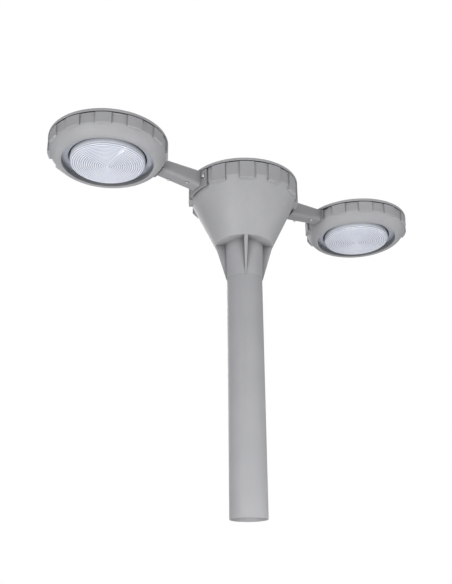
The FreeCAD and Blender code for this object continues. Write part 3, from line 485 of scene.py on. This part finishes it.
def moulded(name, colour, roughness, texture=900, depth=0.00008):
    """Moulded plastic or rubber with a fine spark-eroded texture."""
    shader = Shader(name)
    grain = shader.noise(texture, 2, 0.6)
    cloud = shader.noise(25, 3)
    tone = shader.mix(shader.ramp(cloud, 0.35, 0.65), shade(colour, 0.88), shade(colour, 1.06))
    rough = shader.ramp(grain, 0.3, 0.7, roughness - 0.06, roughness + 0.06)
    return shader.finish(Base_Color=tone, Normal=shader.bump(grain, depth, 0.5), Roughness=rough)


def lens_plastic():
    """Slightly milky, cool-white plastic. The prisms' grooves and the foot of the wall, down in
    the trim ring, are darkened with painted shade, and the plain wall and inside are made lighter
    with painted light. The groove attribute is 0 to 1 over the prisms, and -1 on the plain wall
    and inside."""
    shader = Shader("lens_plastic")
    haze = shader.noise(30, 3, 0.5)
    flow = shader.noise(160, 2, 0.5)
    clear, milky = (0.93, 0.95, 1.0), (0.86, 0.89, 0.98)
    tone = shader.mix(shader.ramp(haze, 0.35, 0.65), milky, clear)
    groove = shader.node("Attribute", {"attribute_name": "groove"}).outputs["Fac"]
    # Painted light: the plain wall and inside take the lighter clear tone, standing in for the
    # light that catches the wall.
    tone = shader.mix(shader.ramp(groove, -1, -0.2, 1, 0), tone, clear)
    # Painted shade: the prisms' grooves are darkened towards a dark blue-grey.
    tone = shader.mix(shader.ramp(groove, 0.2, 0.9), tone, (0.33, 0.36, 0.47))
    # Painted shade: the occlusion mask darkens the foot of the wall, down in the trim ring, and
    # other tight hollows.
    painted_foot_shade = shader.ramp(shader.occlusion(0.03), 0.2, 0.62, 1, 0)
    tone = shader.mix(painted_foot_shade, tone, (0.34, 0.36, 0.42))
    return shader.finish(Base_Color=tone, Roughness=shader.ramp(haze, 0.3, 0.7, 0.10, 0.16),
                         Transmission_Weight=0.05, IOR=1.49, Coat_Weight=0.8,
                         Coat_Roughness=0.04, Normal=shader.bump(flow, 0.00005, 0.15))


def panel_glass():
    """Clear low-iron glass: what lies below shows through, with a sheen that grows at a low
    angle and a fine prismatic texture."""
    shader = Shader("panel_glass")
    dimples = shader.noise(900, 2, 0.5)
    dust = shader.noise(60, 4, 0.6)
    normal = shader.bump(dimples, 0.00003, 0.2)
    clear = shader.node("BsdfTransparent", Color=(0.985, 0.99, 0.99))
    sheen = shader.node("BsdfGlossy", Color=(1, 1, 1), Normal=normal,
                        Roughness=shader.ramp(dust, 0.3, 0.7, 0.03, 0.08))
    facing = shader.node("LayerWeight", Normal=normal).outputs["Facing"]
    grazing = shader.math("MULTIPLY", shader.math("POWER", facing, 5), 0.8)
    mixed = shader.node("MixShader", Fac=shader.math("ADD", grazing, 0.02))
    shader.link(clear.outputs[0], mixed.inputs[1])
    shader.link(sheen.outputs[0], mixed.inputs[2])
    shader.link(mixed.outputs[0], shader.output.inputs["Surface"])
    return shader.material


def silicon(name, head):
    """Near-black silicon with fine printed fingers across each strip."""
    shader = Shader(name)
    turn = math.radians(PANEL_TURN + head["turn"])
    along = shader.node("Mapping", {"vector_type": "TEXTURE"}, Vector=shader.position,
                        Location=(head["x"] * MM, 0, 0), Rotation=(0, 0, turn))
    split = shader.node("SeparateXYZ", Vector=along.outputs[0])
    phase = shader.math("FRACT", shader.math("DIVIDE", split.outputs[0], FINGER_PITCH * MM))
    finger = shader.math("LESS_THAN", phase, FINGER_SHARE)
    grain = shader.noise(220, 3, 0.6)
    body = shader.mix(shader.ramp(grain, 0.3, 0.7), (0.006, 0.007, 0.011), (0.013, 0.015, 0.023))
    tone = shader.mix(shader.math("MULTIPLY", finger, 0.30), body, (0.42, 0.43, 0.46))
    return shader.finish(Base_Color=tone, Roughness=shader.ramp(grain, 0.3, 0.7, 0.28, 0.40),
                         Specular_IOR_Level=0.2)


def circuit_board():
    """White solder mask; the LED packages stand below it in warm phosphor yellow."""
    shader = Shader("circuit_board")
    board_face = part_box("right_led_board")[0].z + LED_FACE * MM
    split = shader.node("SeparateXYZ", Vector=shader.position)
    package = shader.math("LESS_THAN", split.outputs[2], board_face)
    mottle = shader.noise(120, 3)
    mask = shader.mix(shader.ramp(mottle, 0.35, 0.65), (0.80, 0.80, 0.77), (0.88, 0.88, 0.86))
    return shader.finish(Base_Color=shader.mix(package, mask, (0.80, 0.62, 0.16)), Roughness=0.45)


def woven(name, colour):
    """Woven webbing."""
    shader = Shader(name)
    weft = shader.node("TexWave", {"bands_direction": "X"}, Vector=shader.position, Scale=260)
    warp = shader.node("TexWave", {"bands_direction": "Y"}, Vector=shader.position, Scale=260)
    weave = shader.math("MULTIPLY", weft.outputs["Fac"], warp.outputs["Fac"])
    tone = shader.mix(weave, shade(colour, 0.6), colour)
    return shader.finish(Base_Color=tone, Roughness=0.85, Normal=shader.bump(weave, 0.0003, 0.6))


def studio_floor():
    """Matt, nearly white board, faintly cloudy."""
    shader = Shader("studio_floor")
    cloud = shader.noise(3, 3)
    tone = shader.mix(shader.ramp(cloud, 0.3, 0.7), (0.88, 0.88, 0.88), (0.90, 0.90, 0.90))
    return shader.finish(Base_Color=tone, Roughness=0.7)


# ---------------------------------------------------------------- solar lids

def screw_seats(name, head):
    """Short upright cutters for the four counterbores of a lid."""
    floor, over = TOP - SEAT_DEPTH, TOP + SEAT_ABOVE
    rings = [(0, floor), (SEAT_RADIUS - SEAT_ROUND, floor), (SEAT_RADIUS, floor + SEAT_ROUND),
             (SEAT_RADIUS, TOP - SEAT_RIM), (SEAT_RADIUS + (SEAT_RIM + SEAT_ABOVE), over),
             (0, over)]
    cutters = []
    for index in range(4):
        angle = math.radians(BLOCK_PITCH + 90 * index + head["turn"])
        x = head["x"] + LID_SCREW_RADIUS * math.cos(angle)
        y = LID_SCREW_RADIUS * math.sin(angle)
        vertices = []
        for step in range(SEAT_SIDES):
            turn = 2 * math.pi * step / SEAT_SIDES
            for radius, height in rings:
                vertices.append(((x + radius * math.cos(turn)) * MM,
                                 (y + radius * math.sin(turn)) * MM, height * MM))
        faces = []
        for step in range(SEAT_SIDES):
            here, there = step * len(rings), (step + 1) % SEAT_SIDES * len(rings)
            for row in range(len(rings) - 1):
                faces.append((here + row, there + row, there + row + 1, here + row + 1))
        cutters.append(close_axis(mesh_piece(f"{name}_seat_{index}", vertices, faces)))
    return cutters


def lid(side, head, coat):
    """Lid ring: rounded top edge, window, ledge for the panel, spigot and screw seats."""
    outline = rounded([
        (LID_LEDGE, LID_SKIRT, 0.3),
        (LID_LEDGE, LEDGE_DEPTH, 0.3),
        (LID_WINDOW, LEDGE_DEPTH),
        (LID_WINDOW, 0, 1.0),
        (HEAD_RADIUS, 0, LID_ROUND),
        (HEAD_RADIUS, LID_SKIRT, 0.5),
        (SPIGOT[1], LID_SKIRT),
        (SPIGOT[1], SPIGOT_DEPTH, 0.4),
        (SPIGOT[0], SPIGOT_DEPTH, 0.4),
        (SPIGOT[0], LID_SKIRT),
    ])
    ring = turned(side + "_lid", outline, head=head)
    ring = combine(ring, screw_seats(side, head), "DIFFERENCE")
    return finished(ring, coat, "powder_coat", side + "_lid_ring")


def strip(x0, x1, y0, y1, face):
    """One flat ribbon lying on the cells, with softened upper edges, as points and faces."""
    points = []
    for inset, height in ((0, 0), (0, RIBBON_THICK - RIBBON_EDGE), (RIBBON_EDGE, RIBBON_THICK)):
        for x, y in ((x0 + inset, y0 + inset), (x1 - inset, y0 + inset),
                     (x1 - inset, y1 - inset), (x0 + inset, y1 - inset)):
            points.append((x, y, face + height))
    faces = [(3, 2, 1, 0), (8, 9, 10, 11)]
    for level in (0, 4):
        for corner in range(4):
            after = (corner + 1) % 4
            faces.append((level + corner, level + after, level + 4 + after, level + 4 + corner))
    return points, faces


def ribbons(side, head, tin):
    """Tinned ribbons: two across the strips, one in each side gap, two short ones on each side."""
    half = CELL_LENGTH / 2
    quarter = CELL_LENGTH / 4
    stack = CELL_PITCH * 4
    wide, inset = RIBBON_HALF["long"], RIBBON_INSET["long"]
    layout = [(at - wide, at + wide, inset - stack, stack - inset) for at in (-quarter, quarter)]
    for sign in (-1, 1):
        gap = sign * (half + SIDE_CELL_GAP / 2)
        wide = RIBBON_HALF["side"]
        layout.append((gap - wide, gap + wide, -half, half))
        edge = half + SIDE_CELL_GAP + SIDE_CELL_WIDTH - RIBBON_INSET["short"]
        ends = sorted((gap, sign * edge))
        wide = RIBBON_HALF["short"]
        layout += [(ends[0], ends[1], at - wide, at + wide) for at in (-quarter, quarter)]
    vertices, faces = [], []
    turn = math.radians(PANEL_TURN + head["turn"])
    for number, (x0, x1, y0, y1) in enumerate(layout):
        lift = RIBBON_STAGGER * number / len(layout)
        points, quads = strip(x0, x1, y0, y1, TOP - CELL_FACE - RIBBON_GAP + lift)
        start = len(vertices)
        for x, y, z in points:
            vertices.append(((head["x"] + x * math.cos(turn) - y * math.sin(turn)) * MM,
                             (x * math.sin(turn) + y * math.cos(turn)) * MM, z * MM))
        faces += [tuple(start + corner for corner in quad) for quad in quads]
    piece = mesh_piece(side + "_cell_ribbons", vertices, faces)
    return finished(piece, tin, "stainless")


# ---------------------------------------------------------------- lamp heads

def bulge(start, end, radius, steps):
    """Points of an arc from start to end that swells away from the axis and downwards."""
    start, end = Vector(start), Vector(end)
    chord = end - start
    outward = Vector((chord.y, -chord.x)).normalized()
    centre = (start + end) / 2 - outward * math.sqrt(radius * radius - chord.length_squared / 4)
    first, last = (math.atan2(*reversed(point - centre)) for point in (start, end))
    return arc_points(centre, math.degrees(first), math.degrees(last - first), radius, steps)


BOWL = (bulge((BAND_RADIUS, LAMP_CREASE), KNEE, BOWL_BENDS[0], BOWL_STEPS[0])
        + bulge(KNEE, (LIP_FLAT, LIP_DEPTH), BOWL_BENDS[1], BOWL_STEPS[1])[1:])


def bowl_radius(depth):
    """Radius of the lamp's bowl at this depth, between the crease and the lip."""
    for (outer, above), (inner, below) in zip(BOWL, BOWL[1:]):
        if above <= depth <= below:
            return outer + (inner - outer) * (depth - above) / (below - above)
    return BAND_RADIUS


def band_top(rim, radius):
    """Top of a band or block: level edge, small rounding, then in from the rim to the face."""
    edge = [(rim + out, SEAM_BOTTOM + down) for out, down in RIM_EDGE]
    slope = [(radius + (rim - radius) * share, SEAM_BOTTOM + down) for share, down in RIM_SLOPE]
    return [(BAND_BORE, SEAM_BOTTOM)] + edge + slope


def block_foot(bottom, surface):
    """A block's lower edge: down its face, round the corner and in to the surface below it."""
    centre = (HEAD_RADIUS - FOOT_ROUND, bottom - FOOT_ROUND)
    corner = arc_points(centre, 0, 90, FOOT_ROUND, FOOT_STEPS)
    last = bottom + FOOT_UNDER[1]
    return corner + [(surface(bottom) + FOOT_OUT, bottom), (surface(last), last)]


def under_foot(bottom, surface):
    """The surface beside that lower edge, point for point."""
    spacing = FOOT_ROUND / FOOT_STEPS
    depths = [bottom - FOOT_ROUND + spacing * step for step in range(FOOT_STEPS + 1)]
    depths += [bottom + under for under in FOOT_UNDER]
    return [(surface(depth), depth) for depth in depths]


def castellated(name, crease, block_depth, surface, rest, missing, head=HEADS["centre"]):
    """Band with raised blocks over a bowl or cone. Crease is the outline from band to surface,
    surface gives its radius at a depth, and rest is the outline from below the blocks' feet round
    the inside to the seam."""
    below = crease + under_foot(block_depth, surface)
    band = band_top(SEAM_RIM, BAND_RADIUS) + below
    bare = band_top(BAND_RADIUS, BAND_RADIUS) + below
    block = band_top(HEAD_RADIUS, HEAD_RADIUS) + [(HEAD_RADIUS, depth) for _, depth in crease]
    block += block_foot(block_depth, surface)
    return turned(name, band + rest, block + rest, bare + rest, block_columns(missing), head)


def housing(side, head, coat):
    """Lamp casting: band with blocks, bowl down to the flat lip, and the opening with its rim."""
    crease = [(bowl_radius(depth), depth) for depth in LAMP_CREASE_DEPTHS]
    bowl = [point for point in BOWL if point[1] > LAMP_BLOCK_DEPTH + FOOT_CLEAR]
    inside = rounded([
        (LIP_FLAT, LIP_DEPTH),
        (OPENING, LIP_DEPTH, LIP_ROUND),
        (OPENING, RIM_DEPTH, 0.3),
        (RIM_OUTER, RIM_DEPTH),
        (RIM_OUTER, LIP_DEPTH - LIP_WALL),
        (BAND_BORE, LAMP_CREASE - 1, CASTING_ROUND),
        (BAND_BORE, SEAM_BOTTOM + SEAM_STEP),
    ], 6, False)[1:]
    piece = castellated(side + "_casting", crease, LAMP_BLOCK_DEPTH, bowl_radius, bowl + inside,
                        (6,), head)
    return finished(piece, coat, "powder_coat", side + "_housing")


def trim(side, head, anodised):
    """Pressed ring round the lens, with a rolled inner edge."""
    back, roll, outer = RIM_DEPTH - TRIM_THICK, RIM_DEPTH + ROLL_HEIGHT, RIM_OUTER - TRIM_GAP
    outline = rounded([
        (TRIM_BORE, back, 0.5),
        (TRIM_BORE, roll, 0.6),
        (TRIM_BORE + ROLL_WIDTHS[0], roll, 0.6),
        (TRIM_BORE + ROLL_WIDTHS[1], RIM_DEPTH, 0.6),
        (outer, RIM_DEPTH, 0.3),
        (outer, back, 0.3),
    ])
    piece = turned(side + "_trim", outline, head=head)
    return finished(piece, anodised, "trim_aluminium", side + "_trim_ring")


def prism_points(path):
    """Points along the lens's outline path where the prisms' faces bend, each with the path's
    outward normal and the share of the groove's depth."""
    steps = [(Vector(start), Vector(end) - Vector(start)) for start, end in zip(path, path[1:])]
    rings = math.ceil(sum(step.length for _, step in steps) / RING_PITCH)
    marks = [((ring + share) * RING_PITCH, cut) for ring in range(rings) for share, cut in PRISM]
    made = []
    travelled = 0.0
    for start, step in steps:
        along = step.normalized()
        normal = Vector((-along.y, along.x))
        while marks and marks[0][0] <= travelled + step.length:
            mark, cut = marks.pop(0)
            made.append((start + along * (mark - travelled), normal, cut))
        travelled += step.length
    return made


def lens(side, head, plastic):
    """Domed lens drum, cut into prisms in rings over its face and round its shoulder, with a
    plain wall."""
    dome = []
    face_radius = LENS_RADIUS - LENS_ROUND
    dome_height = LENS_APEX - LENS_SHOULDER
    for step in range(DOME_STEPS):
        radius = face_radius * step / DOME_STEPS
        dome.append((radius, LENS_APEX - dome_height * (radius / face_radius) ** 2))
    shoulder = [dome[-1], (face_radius, LENS_SHOULDER),
                (LENS_RADIUS, LENS_SHOULDER, LENS_ROUND - 0.5), (LENS_RADIUS, WALL_END)]
    path = dome + rounded(shoulder, 10, False)[1:]
    outline = [(0, LENS_APEX - LENS_WALL - RING_GROOVE), (0, LENS_APEX)]
    grooves = [0, 0]
    for point, normal, cut in prism_points(path):
        if point.y < PRISMS_END:
            break
        if point.x > RING_PITCH * 0.5:
            outline.append(tuple(point - normal * RING_GROOVE * cut))
            grooves.append(cut)
    inner = LENS_RADIUS - LENS_WALL - RING_GROOVE
    rest = rounded([
        (LENS_RADIUS, LENS_SHOULDER - LENS_ROUND),
        (LENS_RADIUS, WALL_END - WALL_STEP),
        (LENS_RADIUS, LENS_FLANGE_DEPTHS[0], 0.6),
        (LENS_FLANGE, LENS_FLANGE_DEPTHS[0]),
        (LENS_FLANGE, LENS_FLANGE_DEPTHS[1]),
        (inner, LENS_FLANGE_DEPTHS[1]),
        (inner, LENS_SHOULDER - LENS_WALL - RING_GROOVE, LENS_ROUND - 3),
        (inner - LENS_ROUND, LENS_SHOULDER - LENS_WALL - RING_GROOVE),
    ], 6, False)
    piece = turned(side + "_prism_lens", outline + rest, head=head,
                   grooves=grooves + [-1] * len(rest))
    return finished(piece, plastic, "clear_polycarbonate", side + "_lens")


# ---------------------------------------------------------------- funnel head and pole

def cone_radius(depth):
    """Radius of the funnel at this depth: its band, and the cone below the crease."""
    if depth < FUNNEL_CREASE:
        return BAND_RADIUS
    height = RING_DEPTH - FUNNEL_CREASE
    return BAND_RADIUS - (BAND_RADIUS - RING_RADIUS) * (depth - FUNNEL_CREASE) / height


def funnel(coat):
    """Funnel casting: band with blocks, cone, flat ring, collar, gussets and floor."""
    crease = rounded([
        (BAND_RADIUS, CREASE_SPAN[0]),
        (BAND_RADIUS, FUNNEL_CREASE, CREASE_ROUND),
        (cone_radius(CREASE_SPAN[1]), CREASE_SPAN[1]),
    ], 3, False)
    floor = RING_DEPTH - FLOOR_THICK
    rest = rounded([
        (cone_radius(CONE_OPENS), CONE_OPENS),
        (RING_RADIUS, RING_DEPTH, 1.0),
        (COLLAR_TOP, RING_DEPTH, 0.5),
        (COLLAR_END, COLLAR_DEPTH),
        (COLLAR_BORE, COLLAR_DEPTH),
        (COLLAR_BORE, RING_DEPTH),
        (FLOOR_BORE, RING_DEPTH),
        (FLOOR_BORE, floor),
        (cone_radius(floor) - CONE_WALL, floor),
        (cone_radius(CONE_OPENS) - CONE_WALL, CONE_OPENS),
        (BAND_BORE, FUNNEL_CREASE),
        (BAND_BORE, SEAM_BOTTOM + SEAM_STEP),
    ], 6, False)
    body = castellated("funnel", crease, FUNNEL_BLOCK_DEPTH, cone_radius, rest, (0, 6))
    combine(body, [gusset(index) for index in range(4)], "UNION")
    return finished(body, coat, "powder_coat", "funnel_body")


def gusset(index):
    """Tapered rib from the flat ring down to the collar's end, with softened outer edges."""
    angle = math.radians(RIB_TURN + 90 * index)
    outward = Vector((math.cos(angle), math.sin(angle), 0))
    aside = Vector((-math.sin(angle), math.cos(angle), 0))
    vertices, faces = [], []
    top, top_radius = RING_DEPTH - RIB_SUNK, RING_RADIUS - RIB_INSET
    fall = COLLAR_END + RIB_STANDS - RING_RADIUS + RIB_INSET
    for level in range(RIB_LEVELS + 1):
        share = level / RIB_LEVELS
        depth = top + (RIB_DEPTH - top) * share
        half = (RIB_THICK[0] + (RIB_THICK[1] - RIB_THICK[0]) * share) / 2
        outer = top_radius + fall * share
        soft = min(RIB_ROUND, half * 0.4)
        section = [(RIB_ROOT, -half), (outer - soft, -half)]
        section += [(outer - soft + soft * math.sin(turn), -half + soft - soft * math.cos(turn))
                    for turn in (math.pi / 8, math.pi / 4, math.pi * 3 / 8, math.pi / 2)]
        section += [(radius, -lateral) for radius, lateral in reversed(section)]
        for radius, lateral in section:
            point = outward * radius + aside * lateral
            vertices.append((point.x * MM, point.y * MM, (TOP - depth) * MM))
    around = len(section)
    for level in range(RIB_LEVELS):
        for corner in range(around):
            after = (corner + 1) % around
            low, high = level * around, (level + 1) * around
            faces.append((low + corner, low + after, high + after, high + corner))
    faces.append(tuple(range(around)))
    faces.append(tuple(RIB_LEVELS * around + corner for corner in reversed(range(around))))
    return close_axis(mesh_piece(f"gusset_{index}", vertices, faces))


def pole(coat):
    """Open tube from the funnel's flat ring down to the pole's lower end."""
    outline = rounded([
        (POLE_BORE, RING_DEPTH, 0.3),
        (POLE_RADIUS, RING_DEPTH, 0.3),
        (POLE_RADIUS, TOP, 0.5),
        (POLE_BORE, TOP, 0.5),
    ])
    piece = turned("pole_tube", outline)
    return finished(piece, coat, "painted_steel", "pole")


# ---------------------------------------------------------------- arms

def softened(name, slot, width, segments, sharp):
    """A CAD node's own shape with its sharp edges rounded by a small bevel."""
    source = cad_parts[name]
    piece = bpy.data.objects.new(name + "_finished", source.data.copy())
    bpy.context.scene.collection.objects.link(piece)
    work = bmesh.new()
    work.from_mesh(piece.data)
    bmesh.ops.remove_doubles(work, verts=work.verts, dist=MERGE_DISTANCE)
    bmesh.ops.dissolve_limit(work, angle_limit=math.radians(FLAT_WITHIN), verts=work.verts,
                             edges=work.edges)
    work.to_mesh(piece.data)
    work.free()
    edges = piece.modifiers.new("edges", "BEVEL")
    edges.width = width * MM
    edges.segments = segments
    edges.limit_method = "ANGLE"
    edges.angle_limit = math.radians(ROUND_OVER)
    apply_modifiers(piece)
    smooth(piece, sharp)
    return finished(piece, source.data.materials[0], slot, name)


# ---------------------------------------------------------------- studio

def studio():
    """Plain pale floor, a world that the camera sees as white, and soft lights."""
    corners = [(x * FLOOR_HALF, y * FLOOR_HALF, FLOOR_HEIGHT)
               for x, y in ((-1, -1), (1, -1), (1, 1), (-1, 1))]
    floor = mesh_piece("floor", corners, [(0, 1, 2, 3)])
    floor.data.materials.append(studio_floor())
    world = bpy.data.worlds.new("studio")
    bpy.context.scene.world = world
    world.use_nodes = True
    nodes, links = world.node_tree.nodes, world.node_tree.links
    nodes.clear()
    path = nodes.new("ShaderNodeLightPath")
    seen = nodes.new("ShaderNodeBackground")
    seen.inputs[0].default_value = (1, 1, 1, 1)
    seen.inputs[1].default_value = 1.0
    ambient = nodes.new("ShaderNodeBackground")
    ambient.inputs[0].default_value = (0.95, 0.97, 1.0, 1)
    ambient.inputs[1].default_value = AMBIENT
    chosen = nodes.new("ShaderNodeMixShader")
    output = nodes.new("ShaderNodeOutputWorld")
    links.new(path.outputs["Is Camera Ray"], chosen.inputs[0])
    links.new(ambient.outputs[0], chosen.inputs[1])
    links.new(seen.outputs[0], chosen.inputs[2])
    links.new(chosen.outputs[0], output.inputs[0])
    for name, settings in LIGHTS.items():
        soft_light(name, *settings)
    bpy.context.scene.view_settings.view_transform = "Standard"


def soft_light(name, place, target, size, power):
    """Round area light that the camera doesn't see."""
    data = bpy.data.lights.new(name, "AREA")
    data.shape = "DISK"
    data.size = size
    data.energy = power
    light = bpy.data.objects.new(name, data)
    bpy.context.scene.collection.objects.link(light)
    light.location = place
    aim = Vector(target) - Vector(place)
    light.rotation_euler = aim.to_track_quat("-Z", "Y").to_euler()
    light.visible_camera = False


def camera():
    """Camera low in front of the pole, looking up at the heads. Azimuth is where it stands round
    the pole, heading is where it looks, clockwise from +Y, and pitch is upwards, in radians."""
    distance, height = 1.9231, -0.2360
    azimuth = math.radians(-124.61)
    heading = math.radians(34.61) - 0.0249
    pitch, roll = 0.39354, -0.0086
    forward = Vector((math.sin(heading) * math.cos(pitch), math.cos(heading) * math.cos(pitch),
                      math.sin(pitch)))
    level = Vector((math.cos(heading), -math.sin(heading), 0))
    upright = level.cross(forward)
    right = level * math.cos(roll) + upright * math.sin(roll)
    up = upright * math.cos(roll) - level * math.sin(roll)
    data = bpy.data.cameras.new("camera")
    data.sensor_width = 36
    data.lens = 50.48
    data.clip_end = 100
    view = bpy.data.objects.new("camera", data)
    bpy.context.scene.collection.objects.link(view)
    turn = Matrix((right, up, -forward)).transposed().to_4x4()
    place = (distance * math.cos(azimuth), distance * math.sin(azimuth), height)
    view.matrix_world = Matrix.Translation(place) @ turn
    bpy.context.scene.camera = view


# ---------------------------------------------------------------- assembly

coat_colour = (0.40, 0.40, 0.41)
cast_coat = powder_coat("cast_powder_coat", coat_colour)
# Painted shade: the arms get a darker copy of the casting coat for the shade they sit in under the
# heads; the real arms are the same colour as the castings.
shaded_arm_coat = powder_coat("arm_painted_shade_coat", shade(coat_colour, 0.82))
pole_coat = powder_coat("pole_powder_coat", coat_colour, 0.04)
stainless = metal("stainless_steel", (0.92, 0.92, 0.92), 0.38, (1, 1, 6))
tinned = metal("tinned_ribbon", (0.80, 0.80, 0.82), 0.30)
anodised = metal("anodised_trim", (0.76, 0.79, 0.87), 0.46, (1, 1, 8), 500)
sheet_metal = metal("sheet_aluminium", (0.72, 0.73, 0.75), 0.38, (6, 1, 1), 350)
rubber = moulded("black_rubber", (0.018, 0.018, 0.020), 0.62, 1200)
finishes = {
    "lid_ring": cast_coat,
    "housing": cast_coat,
    "arm": shaded_arm_coat,
    "arm_cover": cast_coat,
    "funnel_body": cast_coat,
    "pole": pole_coat,
    "panel_glass": panel_glass(),
    "panel_backsheet": moulded("white_backsheet", (0.93, 0.93, 0.93), 0.5, 500, 0.00002),
    "lid_gasket": rubber,
    "lens_gasket": rubber,
    "grommets": rubber,
    "lid_screws": stainless,
    "plate_screws": stainless,
    "saddle_bolts": stainless,
    "lamp_bolts": stainless,
    "arm_cover_screws": stainless,
    "pole_set_screws": stainless,
    "trim_ring": anodised,
    "mounting_plate": sheet_metal,
    "battery_tray": sheet_metal,
    "controller_plate": sheet_metal,
    "lens": lens_plastic(),
    "led_board": circuit_board(),
    "led_driver": moulded("driver_case", (0.78, 0.78, 0.76), 0.5),
    "arm_cable": moulded("cable_jacket", (0.02, 0.02, 0.022), 0.5, 1500, 0.00004),
    "battery_cells": moulded("battery_sleeve", (0.05, 0.16, 0.42), 0.32, 1500, 0.00002),
    "battery_strap": woven("strap_webbing", (0.03, 0.03, 0.03)),
    "charge_controller": moulded("controller_case", (0.04, 0.04, 0.045), 0.45),
    "switch_housing": metal("switch_steel", (0.56, 0.56, 0.57), 0.30, (1, 1, 8), 600),
    "switch_nut": stainless,
    "switch_button": moulded("button_cap", (0.03, 0.03, 0.03), 0.5),
}

for name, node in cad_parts.items():
    side, _, rest = name.partition("_")
    part = rest if side in HEADS else name
    if part == "solar_cells":
        finish = silicon(side + "_silicon", HEADS[side])
    else:
        finish = finishes[part]
    node.data.materials.clear()
    node.data.materials.append(finish)
    smooth(node, CAD_SHARP)

for side, head in HEADS.items():
    lid(side, head, cast_coat)
    ribbons(side, head, tinned)
for side in LAMPS:
    housing(side, HEADS[side], cast_coat)
    trim(side, HEADS[side], anodised)
    lens(side, HEADS[side], finishes["lens"])
    softened(side + "_arm", "powder_coat", 0.7, 2, 20)
    softened(side + "_arm_cover_screws", "stainless", 1.5, 4, 40)
    softened(side + "_saddle_bolts", "stainless", 0.8, 3, 40)
funnel(cast_coat)
pole(pole_coat)
studio()
camera()
